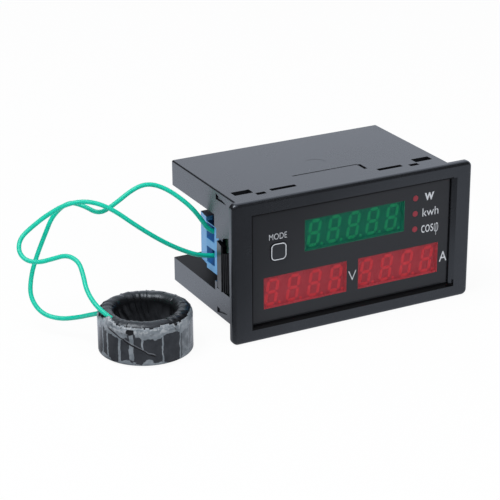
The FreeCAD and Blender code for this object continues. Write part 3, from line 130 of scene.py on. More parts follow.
# %% [markdown]
# Finishes are built from nodes. Long chains of math nodes are hard to read, so a small class lets
# them be written as sums and products. One method makes every other kind of node.

# %% Shader maths
class Wave:
    """A node's output that + - * and a few named steps turn into Math nodes."""

    def __init__(self, finish, socket):
        self.finish = finish
        self.socket = socket

    def math(self, operation, *values):
        return self.finish.node("ShaderNodeMath", {"operation": operation}, dict(enumerate(values)))

    def __add__(self, other):
        return self.math("ADD", self, other)

    def __radd__(self, other):
        return self.math("ADD", other, self)

    def __sub__(self, other):
        return self.math("SUBTRACT", self, other)

    def __mul__(self, other):
        return self.math("MULTIPLY", self, other)

    def distance(self, other=0.0):
        gap = self - other
        return gap.math("ABSOLUTE", gap)

    def or_else(self, other):
        """The larger of two masks: 1 where either is 1."""
        return self.math("MAXIMUM", self, other)

    def fraction(self):
        return self.math("FRACT", self)

    def between(self, low, high):
        """1 from low to high and 0 outside."""
        return self.math("GREATER_THAN", self, low) * self.math("LESS_THAN", self, high)

    def ramp(self, low, high, first=0.0, last=1.0):
        """Runs smoothly from first to last while this goes from low to high."""
        return self.finish.node("ShaderNodeMapRange", {"interpolation_type": "SMOOTHSTEP"},
                                {0: self, 1: low, 2: high, 3: first, 4: last})


# %% A finish
class Finish:
    """One procedural material on the Principled shader."""

    def __init__(self, name, **constants):
        self.material = bpy.data.materials.new(name)
        self.material.use_nodes = True
        self.tree = self.material.node_tree
        self.shader = self.tree.nodes["Principled BSDF"]
        for key, value in constants.items():
            self.feed(key.replace("_", " ").title().replace("Ior", "IOR"), value)

    def feed(self, socket, value):
        """Sets or links one of the shader's sockets."""
        self.put(self.shader.inputs[socket], value)
        return self

    def put(self, socket, value):
        if isinstance(value, Wave):
            self.tree.links.new(value.socket, socket)
        elif hasattr(getattr(socket, "default_value", None), "__len__"):
            width = len(socket.default_value)
            socket.default_value = (tuple(value) + (1.0,))[:width]
        else:
            socket.default_value = value

    def node(self, kind, settings=None, sockets=None, outlet=0):
        """Makes any node: its settings first, then its sockets' values or links."""
        node = self.tree.nodes.new(kind)
        for key, value in (settings or {}).items():
            setattr(node, key, value)
        for key, value in (sockets or {}).items():
            self.put(node.inputs[key], value)
        return Wave(self, node.outputs[outlet])

    def place(self):
        return self.node("ShaderNodeTexCoord", outlet="Object")

    def parts(self, vector):
        """The three numbers of a vector."""
        node = self.tree.nodes.new("ShaderNodeSeparateXYZ")
        self.put(node.inputs[0], vector)
        return [Wave(self, outlet) for outlet in node.outputs]

    def mottle(self, scale, detail=3.0, place=None):
        """Soft noise from 0 to 1; scale is in lumps per metre on object coordinates."""
        return self.node("ShaderNodeTexNoise", {}, {
            "Vector": place or self.place(), "Scale": scale, "Detail": detail})

    def stretch(self, scale, turn=(0.0, 0.0, 0.0)):
        """Object coordinates, scaled and turned."""
        return self.node("ShaderNodeMapping", {}, {
            "Vector": self.place(), "Rotation": turn, "Scale": scale})

    def blend(self, mask, below, above):
        """The colour below where the mask is 0 and the colour above where it is 1."""
        return self.node("ShaderNodeMix", {"data_type": "RGBA"}, {0: mask, 6: below, 7: above},
                         outlet=2)

    def mix_in(self, mask, other):
        """Shows another shader where the mask is 1."""
        mixed = self.node("ShaderNodeMixShader", {}, {
            0: mask, 1: Wave(self, self.shader.outputs[0]), 2: other})
        self.put(self.tree.nodes["Material Output"].inputs["Surface"], mixed)

    def bump(self, height, distance):
        """Raises the surface by up to distance metres where height is 1."""
        return self.feed("Normal", self.node("ShaderNodeBump", {}, {
            "Height": height, "Distance": distance}))


def screen(red, green, blue):
    """A colour as a screen shows it, from 0 to 255, turned into light."""
    return tuple(
        value / 255 / 12.92 if value <= 10 else ((value / 255 + 0.055) / 1.055) ** 2.4
        for value in (red, green, blue))


print("mid grey as light:", [round(value, 3) for value in screen(128, 128, 128)])


# %% [markdown]
# The case is black ABS with a polished mould: nearly black in itself, and grey only where it mirrors
# something bright. The finish is a very dark colour, a middling gloss that varies a little, and a
# faint orange peel, which keeps large flat faces from looking like glass.

# %% Moulded plastics
def moulded(name, colour, gloss, spread=0.05, peel=0.00001, grain=700.0, **constants):
    """A moulded plastic: colour varies by a tenth, gloss by the spread, and the face has a peel."""
    finish = Finish(name, **constants)
    cloud = finish.mottle(60.0)
    fine = finish.mottle(grain, detail=2.0)
    darker = tuple(0.86 * value for value in colour)
    lighter = tuple(1.12 * value for value in colour)
    finish.feed("Base Color", finish.blend(cloud.ramp(0.3, 0.7), darker, lighter))
    finish.feed("Roughness", gloss + (cloud - 0.5) * spread * 2 + (fine - 0.5) * spread)
    return finish.bump(fine, peel)


CASE_GLOSS = 0.26
case_finish = moulded("case_moulding", (0.010, 0.0105, 0.0125), CASE_GLOSS, ior=1.65,
                      specular_tint=(0.86, 0.93, 1.0), peel=0.000003)
print("case roughness:", CASE_GLOSS)

# %% [markdown]
# Where the case lies in shade or mirrors something dark, a dull black is painted on as painted shade:
# inside the two wire bays, on the slope below the lens, and in thin lines along the left and upper
# rim of the lens's opening. They could be pieces of their own, but they are one moulding, so a mask
# on the case's coordinates picks them out.

# %% Painted shade on the case
OPENING_HALF, OPENING_HALF_UP, RIM_WIDTH, OPENING_FLOOR = 0.0337, 0.0172, 0.00032, -0.0215
case_across, case_deep, case_up = case_finish.parts(case_finish.place())
case_up = case_up - MIDDLE_UP
bay_shade = case_across.distance().between(0.0229, 0.0359) * case_deep.between(-0.0044, 0.0300)
bay_shade = bay_shade * case_up.between(-0.0130, 0.0128)
slope_shade = case_across.between(-OPENING_HALF, 0.0350) * case_up.between(-0.01785, -0.0170)
slope_shade = slope_shade * case_deep.between(FRONT_AT + 0.00002, OPENING_FLOOR)
left_rim_shade = case_across.between(-OPENING_HALF - RIM_WIDTH, 0.0001 - OPENING_HALF)
left_rim_shade = left_rim_shade * case_up.between(-0.0178, OPENING_HALF_UP + RIM_WIDTH)
top_rim_shade = case_across.between(-OPENING_HALF - RIM_WIDTH, OPENING_HALF)
top_rim_shade = top_rim_shade * case_up.between(OPENING_HALF_UP - 0.0001, OPENING_HALF_UP + RIM_WIDTH)
rim_shade = left_rim_shade.or_else(top_rim_shade) * case_deep.between(FRONT_AT - 0.00005, OPENING_FLOOR)
# Painted shade: a dull black shader mixed into the case where the masks are 1
painted_shade_black = case_finish.node("ShaderNodeBsdfPrincipled", {}, {
    "Base Color": (0.004, 0.004, 0.0045), "Roughness": 0.5, "Specular IOR Level": 0.12})
case_finish.mix_in(bay_shade.or_else(slope_shade.or_else(rim_shade)), painted_shade_black)
print("opening half:", OPENING_HALF, OPENING_HALF_UP)

# %% The other plastics
clip_finish = moulded("clip_moulding", (0.002, 0.002, 0.0024), 0.34, specular_ior_level=0.14)
inner_black = moulded("black_moulding", (0.012, 0.012, 0.012), 0.45)
chip_finish = moulded("chip_black", (0.010, 0.010, 0.011), 0.5, peel=0.00002, grain=2500.0)
key_finish = moulded("key_plastic", screen(43, 45, 49), 0.3, specular_ior_level=0.3)
ferrite_finish = moulded("ferrite", (0.035, 0.034, 0.034), 0.62, peel=0.00003, grain=1800.0)
print("materials so far:", len(bpy.data.materials))

# %% [markdown]
# The front is a smoked acrylic sheet, smoother than the case. Its colour windows are coloured films
# that let a little light through, so they are partly see-through, and the digits behind them show as
# slightly brighter bars. The sheet's own cut edges round each window take the window's colour,
# painted lighter as painted light against the shade they lie in, or they would show through the film
# as dark borders.

# %% Lens and colour windows
LENS_GREY = (0.022, 0.0235, 0.027)
GREEN_DEEP, RED_DEEP = (0.008, 0.08, 0.042), (0.29, 0.024, 0.036)
# The cut edges' colours are painted light: lighter than the housings behind them, to cancel the shade
# inside the windows
GREEN_CUT_PAINTED_LIGHT, RED_CUT_PAINTED_LIGHT = (0.02, 0.20, 0.11), (0.58, 0.06, 0.08)
lens_finish = moulded("smoked_lens", LENS_GREY, 0.16, spread=0.02, peel=0.000002,
                      specular_ior_level=0.28)
lens_across, _, lens_up = lens_finish.parts(lens_finish.place())
lens_up = lens_up - MIDDLE_UP
green_cut_lit_mask = lens_across.between(-0.01584, 0.01779) * lens_up.between(0.00266, 0.01224)
red_cut_lit_mask = lens_up.between(-0.01279, -0.00316) * (
    lens_across.between(-0.02924, -0.00176) + lens_across.between(0.00221, 0.02994))
lens_finish.feed("Base Color", lens_finish.blend(
    red_cut_lit_mask, lens_finish.blend(green_cut_lit_mask, LENS_GREY, GREEN_CUT_PAINTED_LIGHT), RED_CUT_PAINTED_LIGHT))


def window(name, colour, cover):
    """A coloured film in the lens; cover is how much of what lies behind it hides."""
    finish = Finish(name, specular_ior_level=0.12, roughness=0.2)
    cloud = finish.mottle(180.0)
    darker = tuple(0.88 * value for value in colour)
    finish.feed("Base Color", finish.blend(cloud.ramp(0.3, 0.7), darker, colour))
    finish.feed("Alpha", cover + (cloud - 0.5) * 0.04)
    finish.bump(cloud, 0.000004)
    return finish


def light_bar(name, colour):
    """The milky resin of an unlit display bar, its colour varying a little at random."""
    finish = Finish(name, roughness=0.35)
    cloud = finish.mottle(1500.0)
    finish.feed("Base Color", finish.blend(cloud, tuple(0.8 * value for value in colour), colour))
    return finish.bump(cloud, 0.00001)


green_window = window("green_film", (0.010, 0.20, 0.12), 0.30)
red_window = window("red_film", (0.52, 0.07, 0.09), 0.30)
green_light = light_bar("green_bars", (0.001, 0.45, 0.115))
red_light = light_bar("red_bars", (0.95, 0.02, 0.03))
green_housing = moulded("green_housing", GREEN_DEEP, 0.5, specular_ior_level=0.2)
red_housing = moulded("red_housing", RED_DEEP, 0.5, specular_ior_level=0.2)
lamp_finish = light_bar("red_resin", screen(146, 40, 54))

# %% [markdown]
# The wires' sheath is soft extruded plastic, which shows as one smooth colour with a broad highlight.
# The terminal blocks are moulded nylon: clear blue and satin, with painted shade where little light
# gets in.

# %% Wire sheath and terminal nylon
wire_finish = Finish("wire_green", specular_ior_level=0.4)
wire_cloud = wire_finish.mottle(400.0)
wire_finish.feed("Base Color", wire_finish.blend(
    wire_cloud, screen(0, 188, 158), screen(4, 204, 174)))
wire_finish.feed("Roughness", 0.38 + (wire_cloud - 0.5) * 0.12)
for wire in (upper_wire, lower_wire):
    wire.data.materials.append(wire_finish.material)

NYLON = screen(92, 166, 222)
nylon_finish = moulded("terminal_blue", NYLON, 0.42, peel=0.000008, grain=1400.0)
# Little light reaches the entries, the step along the top and the block's front end, so the nylon's
# blue is painted darker there as painted shade
nylon_across, nylon_deep, nylon_up = nylon_finish.parts(nylon_finish.place())
nylon_up = nylon_up - MIDDLE_UP
entry_shade = nylon_across.distance().between(0.0230, 0.03392) * nylon_deep.between(-0.005, 0.0049)
shade = (entry_shade * nylon_up.between(0.0060, 0.0090)).or_else(nylon_up.between(0.0075, 0.0090))
shade = shade.or_else(nylon_deep.between(-0.010, -0.0032))
nylon_finish.feed("Base Color", nylon_finish.blend(
    shade, nylon_finish.blend(entry_shade, NYLON, screen(8, 88, 156)), screen(0, 30, 62)))
print("wire material:", wire_finish.material.name, "block material:", nylon_finish.material.name)


# %% [markdown]
# Metal parts inside are small, so a brushed or tinned finish with fine scratches is enough. The same
# recipe serves zinc-plated screws, tinned leads and copper wire, with its own colour and scratches.

# %% Metals
def metal(name, colour, gloss, scratch=(4000.0, 400.0, 4000.0), wound=0.0):
    """A metal with fine scratches; wound adds the ridges of turns of wire, that many per metre."""
    finish = Finish(name, metallic=1.0)
    streak = finish.mottle(1.0, place=finish.stretch(scratch))
    worn = tuple(0.7 * value for value in colour)
    finish.feed("Base Color", finish.blend(streak, worn, colour))
    finish.feed("Roughness", gloss + (streak - 0.5) * 0.25)
    height = streak
    if wound:
        across, deep, up = finish.parts(finish.place())
        height = ((across + deep) * wound).fraction().distance(0.5)
    return finish.bump(height, 0.00003 if wound else 0.000006)


zinc_finish = metal("zinc_steel", (0.62, 0.63, 0.64), 0.35)
tinned_finish = metal("tinned_metal", (0.66, 0.66, 0.63), 0.28)
copper_finish = metal("copper", (0.62, 0.30, 0.16), 0.33, wound=1800.0)


# %% [markdown]
# A circuit board is green lacquer over copper: where tracks run, the lacquer is lighter and stands a
# little proud. The tracks could be drawn one by one, but the boards are hardly seen, so the mortar of
# a brick pattern with long thin cells stands for them.

# %% Circuit board and small parts
board_finish = Finish("circuit_board", specular_ior_level=0.5)
tracks = board_finish.node("ShaderNodeTexBrick", {"offset": 0.37, "squash": 0.6}, {
    "Vector": board_finish.stretch((1.0, 1.0, 1.0), turn=(math.radians(90.0), 0.0, 0.0)),
    "Scale": 120.0, "Mortar Size": 0.018, "Brick Width": 0.9, "Row Height": 0.16}, outlet="Fac")
board_finish.feed("Base Color", board_finish.blend(tracks, (0.012, 0.085, 0.035),
                                                   (0.03, 0.16, 0.06)))
board_finish.feed("Roughness", 0.32 + tracks * 0.1)
board_finish.bump(tracks, 0.00003)

sleeve_finish = moulded("capacitor_sleeve", (0.012, 0.018, 0.07), 0.28)
film_finish = moulded("film_case", (0.5, 0.33, 0.03), 0.35)
varistor_finish = moulded("varistor_coat", (0.02, 0.06, 0.28), 0.3, peel=0.00004)
coil_finish = moulded("coil_tape", (0.58, 0.40, 0.03), 0.25, peel=0.00004, grain=400.0)
glass_finish = Finish("fuse_glass", roughness=0.08)
glass_finish.feed("Base Color", glass_finish.blend(glass_finish.mottle(300.0), (0.6, 0.66, 0.66),
                                                   (0.75, 0.8, 0.8)))
glass_finish.feed("Alpha", 0.35 + glass_finish.mottle(200.0) * 0.1)

# %% Give every CAD piece the finish of its slot
FINISHES = {
    "case_black": case_finish, "clip_black": clip_finish, "smoked_lens": lens_finish,
    "green_window": green_window, "red_window": red_window, "display_housing": green_housing,
    "green_light": green_light, "red_light": red_light, "red_lamp": lamp_finish,
    "key_plastic": key_finish, "black_moulding": inner_black, "circuit_board": board_finish,
    "chip_black": chip_finish, "tinned_metal": tinned_finish, "zinc_steel": zinc_finish,
    "ferrite": ferrite_finish, "coil_tape": coil_finish, "capacitor_sleeve": sleeve_finish,
    "film_case": film_finish, "varistor_coat": varistor_finish, "fuse_glass": glass_finish,
    "copper": copper_finish, "wire_sheath": wire_finish, "terminal_blue": nylon_finish,
}
for entry in frame["record"]["subparts"]:
    node = frame["nodes"].get(entry["node"])
    finish = FINISHES.get(entry["material_slot"])
    if node and finish:
        node.data.materials.clear()
        node.data.materials.append(finish.material)
for name in ("red_display_left_body", "red_display_right_body"):
    frame["nodes"][name].data.materials[0] = red_housing.material
print("finishes given:", len(FINISHES))

# %% [markdown]
# The current transformer is a ring wound with vinyl tape, pulled through the bore again and again.
# Each turn overlaps the last, so the surface is a run of small steps that fan out over the rim and
# crowd together in the bore. A spun profile gives the ring, and every point then moves in or out by
# the height of the tape's step at its angle, with creases from seeded noise.

# %% The wrapped ring
RING_PLACE = Vector((-0.0622, -0.0122, 0.0))
RING_OUTER, RING_BORE, RING_HEIGHT, RING_ROUND = 0.0135, 0.0084, 0.0128, 0.0024
RING_FOOT, TURNS = 0.00025, 23
# How far the tape's step, its creases and its sag move the surface
STEP, CREASE, FINE_CREASE, SAG, PRESSED = 0.24 * MM, 0.18 * MM, 0.04 * MM, 0.30 * MM, 0.12 * MM


def finish_mesh(name, mesh, material, body):
    """Turns a bmesh into a piece that rides on a body."""
    data = bpy.data.meshes.new(name)
    mesh.to_mesh(data)
    mesh.free()
    data.materials.append(material)
    data.shade_smooth()
    piece = bpy.data.objects.new(name, data)
    bpy.context.collection.objects.link(piece)
    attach(piece, body)
    return piece


def wrapped_ring():
    """A rounded ring about the Z axis, with the steps and creases of its tape."""
    mesh = bmesh.new()
    corners = [mesh.verts.new((across, 0.0, up))
               for across, up in ((RING_BORE, RING_FOOT), (RING_OUTER, RING_FOOT),
                                  (RING_OUTER, RING_HEIGHT), (RING_BORE, RING_HEIGHT))]
    mesh.faces.new(corners)
    bmesh.ops.bevel(mesh, geom=corners, offset=RING_ROUND, offset_type="OFFSET", segments=8,
                    profile=0.5, affect="VERTICES", material=-1)
    bmesh.ops.delete(mesh, geom=mesh.faces[:], context="FACES_ONLY")
    long_edges = [edge for edge in mesh.edges if edge.calc_length() > 2 * MM]
    bmesh.ops.subdivide_edges(mesh, edges=long_edges, cuts=11)
    bmesh.ops.spin(mesh, geom=mesh.verts[:] + mesh.edges[:], cent=(0, 0, 0), axis=(0, 0, 1),
                   dvec=(0, 0, 0), angle=math.tau, steps=540, use_merge=True)
    bmesh.ops.remove_doubles(mesh, verts=mesh.verts[:], dist=0.000001)
    bmesh.ops.recalc_face_normals(mesh, faces=mesh.faces[:])
    mesh.normal_update()
    moves = []
    middle = (RING_OUTER + RING_BORE) / 2
    for vert in mesh.verts:
        radius = math.hypot(vert.co.x, vert.co.y)
        angle = math.atan2(vert.co.y, vert.co.x)
        about = math.atan2(vert.co.z - RING_HEIGHT / 2, radius - middle)
        lean = 0.35 * about + 0.5 * math.sin(2 * angle + about) + 0.3 * math.sin(5 * angle)
        turn = (angle / math.tau * TURNS + lean) % TURNS
        which, along = int(turn), turn % 1.0
        height = 0.6 + 0.9 * noise.noise(Vector((which * 7.3, 1.0, 2.0)))
        step = STEP * (1 - along) ** 1.5 * height
        crease = CREASE * noise.noise(Vector((turn * 1.7, about * 0.6, 5.0)))
        crease += FINE_CREASE * noise.noise(Vector((turn * 4.1, about * 0.9, 8.0)))
        sag = SAG * noise.noise(vert.co * 150.0)
        outside = max(0.0, (radius - middle) / (RING_OUTER - middle))
        moves.append((vert, vert.normal * ((step + crease + sag) * (1 - 0.8 * outside) - PRESSED)))
    for vert, move in moves:
        vert.co += move
        vert.co.z = max(vert.co.z, 0.0001)
    bmesh.ops.translate(mesh, verts=mesh.verts[:], vec=RING_PLACE)
    return mesh


tape_finish = Finish("wrapped_vinyl", specular_ior_level=0.6, specular_tint=(0.88, 0.94, 1.0))
tape_cloud = tape_finish.mottle(350.0)
tape_finish.feed("Base Color", tape_finish.blend(tape_cloud, (0.0035, 0.0038, 0.0045),
                                                 (0.008, 0.0085, 0.010)))
tape_finish.feed("Roughness", 0.34 + (tape_cloud - 0.5) * 0.2)
tape_finish.bump(tape_finish.mottle(700.0, detail=2.0), 0.00002)
black_tape = finish_mesh("wrapped_tape", wrapped_ring(), tape_finish.material, "meter")
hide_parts("ct_black_tape")
print("tape faces:", len(black_tape.data.polygons))

# %% [markdown]
# A strip of clear film holds the wires' ends and covers the outer wall. Where it sticks, the black
# tape shows through it. Where air is caught under it, it looks grey: along the tape's steps, under
# its upper edge, and in blobs at the foot. The strip is a spun line with a wavering upper edge that
# folds over the rim, and the pattern follows its own UV map, which unrolls it.

# %% The clear film's shape
FILM_GAP, FILM_FOOT, FILM_THICKNESS = 0.00012, 0.0006, 0.00006
# The angle round the ring where the wires go under the film, and how wide the bulge over them is
WIRES_AT, WIRES_SPAN = -2.86, 0.17


def clear_film():
    """A strip round the outer wall, folded over the rim, with its roll-out as a UV map."""
    mesh = bmesh.new()
    last = mesh.verts.new((RING_OUTER + FILM_GAP, 0.0, FILM_FOOT))
    edges = []
    foot_to_bend = [(RING_OUTER + FILM_GAP, RING_HEIGHT - RING_ROUND)]
    bend = [(RING_OUTER - RING_ROUND + (RING_ROUND + FILM_GAP) * math.cos(turn),
             RING_HEIGHT - RING_ROUND + (RING_ROUND + FILM_GAP) * math.sin(turn))
            for turn in [math.radians(9.0 * number) for number in range(1, 11)]]
    for across, up in foot_to_bend + bend:
        vert = mesh.verts.new((across, 0.0, up))
        edges.append(mesh.edges.new((last, vert)))
        last = vert
    bmesh.ops.subdivide_edges(mesh, edges=edges[:1], cuts=16)
    bmesh.ops.spin(mesh, geom=mesh.verts[:] + mesh.edges[:], cent=(0, 0, 0), axis=(0, 0, 1),
                   dvec=(0, 0, 0), angle=math.tau, steps=420, use_merge=True)
    bmesh.ops.remove_doubles(mesh, verts=mesh.verts[:], dist=0.000001)
    bmesh.ops.recalc_face_normals(mesh, faces=mesh.faces[:])
    return mesh


def shape_film(mesh):
    """Gives the strip its torn upper edge, its crumples and its UV map."""
    unrolled = mesh.loops.layers.uv.new("unrolled")
    for face in mesh.faces:
        angles = [math.atan2(loop.vert.co.y, loop.vert.co.x) for loop in face.loops]
        wraps = max(angles) - min(angles) > math.pi
        for loop, angle in zip(face.loops, angles):
            turned = angle + math.tau if wraps and angle < 0 else angle
            bend = max(0.0, RING_OUTER - math.hypot(loop.vert.co.x, loop.vert.co.y))
            loop[unrolled].uv = (turned * RING_OUTER, loop.vert.co.z + bend)
    gone = []
    for vert in mesh.verts:
        angle = math.atan2(vert.co.y, vert.co.x)
        radius = math.hypot(vert.co.x, vert.co.y)
        rim = vert.co.z + max(0.0, RING_OUTER - radius)
        edge = RING_HEIGHT - 0.2 * MM + 1.1 * MM * noise.noise(Vector((angle * 2.3, 3.0, 1.0)))
        edge += 0.5 * MM * noise.noise(Vector((angle * 9.0, 7.0, 1.0)))
        over_wire = math.exp(-((angle - WIRES_AT) / WIRES_SPAN) ** 2)
        edge += 2.2 * MM * over_wire
        if rim > edge:
            gone.append(vert)
        lift = max(0.0, vert.co.z - 0.0095) / 0.0033
        crumple = 0.45 * noise.noise(Vector((angle * 14.0, vert.co.z * 700.0, 4.0)))
        crumple += 0.25 * noise.noise(Vector((angle * 31.0, vert.co.z * 1500.0, 9.0)))
        outward = Vector((vert.co.x, vert.co.y, 0.0)).normalized()
        rise = outward + Vector((0.0, 0.0, lift))
        bulge = 1.25 * over_wire * min(1.0, max(0.0, (rim - 0.0102) / 0.0022))
        vert.co += rise.normalized() * (crumple * lift * 0.5 + bulge) * MM
    bmesh.ops.delete(mesh, geom=gone, context="VERTS")
    bmesh.ops.translate(mesh, verts=mesh.verts[:], vec=RING_PLACE)
    return mesh


film_mesh = shape_film(clear_film())
print("film faces:", len(film_mesh.faces))

# %% The clear film's finish
air_finish = Finish("film_on_tape", specular_ior_level=0.5)
unrolled_place = air_finish.node("ShaderNodeUVMap", {"uv_map": "unrolled"})
round_way, up_way, _ = air_finish.parts(unrolled_place)
lumps = air_finish.mottle(320.0, place=unrolled_place)
ragged = air_finish.mottle(900.0, place=unrolled_place, detail=4.0)
wavy_way = round_way + (lumps - 0.5) * 0.0012
SEEN_MIDDLE = -0.0265


def air_streak(way, width, low, high):
    """Air along one step of the tape: a strip from low to high, in metres."""
    strip = (wavy_way - way).distance().ramp(width / 2, width / 2 + 0.00012, 1.0, 0.0)
    ragged_up = up_way + (ragged - 0.5) * 0.002
    return strip * ragged_up.ramp(low, low + 0.0003) * ragged_up.ramp(high, high + 0.0003, 1.0, 0.0)


# Each streak: where it is on the unrolled strip, its width, its lower and its upper end
STREAKS = (
    (-0.0414, 0.0005, 0.000, 0.012), (-0.0389, 0.0004, 0.000, 0.012), (-0.0346, 0.0007, 0.000, 0.011),
    (-0.0309, 0.0011, 0.002, 0.011), (-0.0277, 0.0004, 0.005, 0.011), (-0.0220, 0.0003, 0.000, 0.011),
    (-0.0162, 0.0003, 0.000, 0.012), (-0.0122, 0.0005, 0.001, 0.012),
)
air = air_streak(*STREAKS[0])
for streak in STREAKS[1:]:
    air = air.or_else(air_streak(*streak))
behind = air_finish.node("ShaderNodeTexVoronoi", {
    "voronoi_dimensions": "1D", "feature": "DISTANCE_TO_EDGE"}, {
    "W": wavy_way - up_way * 0.1, "Scale": 210.0, "Randomness": 0.75}, outlet="Distance")
unseen = (wavy_way - SEEN_MIDDLE).distance().ramp(0.0155, 0.0165)
air = air.or_else(behind.ramp(0.05, 0.075, 1.0, 0.0) * unseen)
reach = air_finish.mottle(130.0, place=unrolled_place)
top_air = (up_way + (reach - 0.5) * 0.009 + (ragged - 0.5) * 0.002).ramp(0.0088, 0.0091)
foot_air = (up_way + (reach - 0.5) * 0.010 + (ragged - 0.5) * 0.002).ramp(0.0014, 0.0017, 1.0, 0.0)
air = air.or_else(top_air.or_else(foot_air))
loose = (round_way + 0.0120).distance().ramp(0.0030, 0.0042, 1.0, 0.0) * (0.35 + lumps * 0.6)
air = air.or_else(loose)
print("streaks of air:", len(STREAKS))

# %% [markdown]
# Where the wires end, the film isn't whole: a fold runs slantwise down, the rim is crumpled, and one
# spot is torn. They could be modelled, but the film is far thinner than they are wide, so each is a
# mask, drawn as the distance from a line or a point on the unrolled strip.

# %% The film's fold, crumples and tear
fold_way = up_way - 0.0104 + (round_way + 0.0378) * 0.53 + (lumps - 0.5) * 0.0016
fold_span = (round_way + 0.0312).distance().ramp(0.0066, 0.0074, 1.0, 0.0)
fold = fold_way.distance().ramp(0.00016, 0.00030, 1.0, 0.0) * fold_span
fold_edge = (fold_way - 0.00035).distance().ramp(0.0001, 0.0003, 1.0, 0.0) * fold_span

crumpled = up_way.ramp(0.0092, 0.0108)
crumpled = crumpled * (round_way - SEEN_MIDDLE).distance().ramp(0.012, 0.016, 1.0, 0.0)
hole = crumpled * air_finish.mottle(480.0, place=unrolled_place, detail=5.0).ramp(0.58, 0.62)
torn_across = (round_way + 0.0311) * 0.75 + (lumps - 0.5) * 0.001
torn_up = up_way - 0.0106 + (ragged - 0.5) * 0.001
torn = (torn_across * torn_across + torn_up * torn_up).ramp(0.0000006, 0.0000010, 1.0, 0.0)
hole = hole.or_else(torn)
grey = air_finish.blend(lumps.ramp(0.35, 0.65), screen(104, 112, 119), screen(132, 139, 146))
pale = air_finish.blend(crumpled * ragged.ramp(0.45, 0.62), grey, screen(158, 163, 168))
wet = air_finish.blend(lumps.ramp(0.3, 0.7), screen(42, 45, 50), screen(52, 55, 60))
shown = air_finish.blend(air, wet, pale)
shown = air_finish.blend(fold_edge * 0.7, shown, screen(112, 116, 122))
shown = air_finish.blend(fold.or_else(hole), shown, screen(22, 23, 26))
air_finish.feed("Base Color", shown)
air_finish.feed("Roughness", 0.20 + air * 0.10 + (lumps - 0.5) * 0.1)
air_finish.bump(air * 0.4 + lumps * 0.3 + crumpled * ragged + fold_edge * 0.6, 0.00009)
film = finish_mesh("clear_film", film_mesh, air_finish.material, "meter")
wall = film.modifiers.new("wall", "SOLIDIFY")
wall.thickness = FILM_THICKNESS
wall.offset = 0.0
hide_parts("ct_clear_band")

# %% [markdown]
# The marks on the front are printed in white: units beside the displays and lamps, a word over the
# key, and a thin line round the key. They could be a picture on the lens, but text objects stay sharp
# at any distance. Each is made a mesh, fitted to its measured height and width, and laid on the lens.

# %% Printed marks
ink_finish = Finish("white_ink", specular_ior_level=0.3)
ink_cloud = ink_finish.mottle(900.0)
ink_finish.feed("Base Color", ink_finish.blend(ink_cloud, screen(188, 192, 198),
                                               screen(214, 217, 222)))
ink_finish.feed("Roughness", 0.5 + (ink_cloud - 0.5) * 0.2)


LENS_AT, INK_PROUD = FRONT_AT + 0.0019, 0.00001
# Each mark: its words, its middle in millimetres, its width and height, and how much bolder its
# strokes are, in metres
MARKS = {
    "mark_power": ("W", (26.4, 12.22), (0.0033, 0.0024), 0.00016),
    "mark_energy": ("kwh", (26.95, 7.34), (0.0056, 0.0026), -0.00002),
    "mark_cosine": ("cos", (26.0, 2.05), (0.0042, 0.0024), -0.00002),
    "mark_angle": ("φ", (29.1, 1.35), (0.0015, 0.0039), -0.00006),
    "mark_volts": ("V", (0.2, -8.1), (0.0027, 0.0031), -0.00009),
    "mark_amps": ("A", (31.95, -8.1), (0.0027, 0.0032), 0.0),
    "mark_mode": ("MODE", (-24.6, 9.06), (0.0058, 0.0018), -0.00003),
}


def print_mark(name, words, middle, size, weight):
    """Prints words upright on the lens."""
    text = bpy.data.curves.new(name, "FONT")
    text.body = words
    text.offset = weight / size[1] * 0.7
    text.resolution_u = 4
    maker = bpy.data.objects.new(name + "_maker", text)
    bpy.context.collection.objects.link(maker)
    bpy.context.view_layer.update()
    mesh = bmesh.new()
    flat = maker.to_mesh()
    mesh.from_mesh(flat)
    maker.to_mesh_clear()
    bpy.data.objects.remove(maker)
    spots = [vert.co.copy() for vert in mesh.verts]
    low = Vector((min(v.x for v in spots), min(v.y for v in spots), 0.0))
    high = Vector((max(v.x for v in spots), max(v.y for v in spots), 0.0))
    centre = (low + high) / 2
    scale = (size[0] / (high.x - low.x), size[1] / (high.y - low.y))
    for vert in mesh.verts:
        across, up = (vert.co.x - centre.x) * scale[0], (vert.co.y - centre.y) * scale[1]
        vert.co = (middle[0] * MM + across, LENS_AT - INK_PROUD, MIDDLE_UP + middle[1] * MM + up)
    bmesh.ops.recalc_face_normals(mesh, faces=mesh.faces[:])
    if mesh.faces and sum(face.normal.y for face in mesh.faces) > 0:
        bmesh.ops.reverse_faces(mesh, faces=mesh.faces[:])
    mark = finish_mesh(name, mesh, ink_finish.material, "meter")
    mark.data.shade_flat()
    return mark


marks = [print_mark(name, *facts) for name, facts in MARKS.items()]
print("marks:", len(marks))


# %% The line round the key
KEY_MIDDLE, KEY_FRONT = Vector((-0.0245, 0.0, MIDDLE_UP + 0.0044)), FRONT_AT + 0.0016
LINE_SIZE, LINE_ROUND, LINE_BREADTH = (0.0049, 0.0051, 1.0), 0.0013, 0.00028


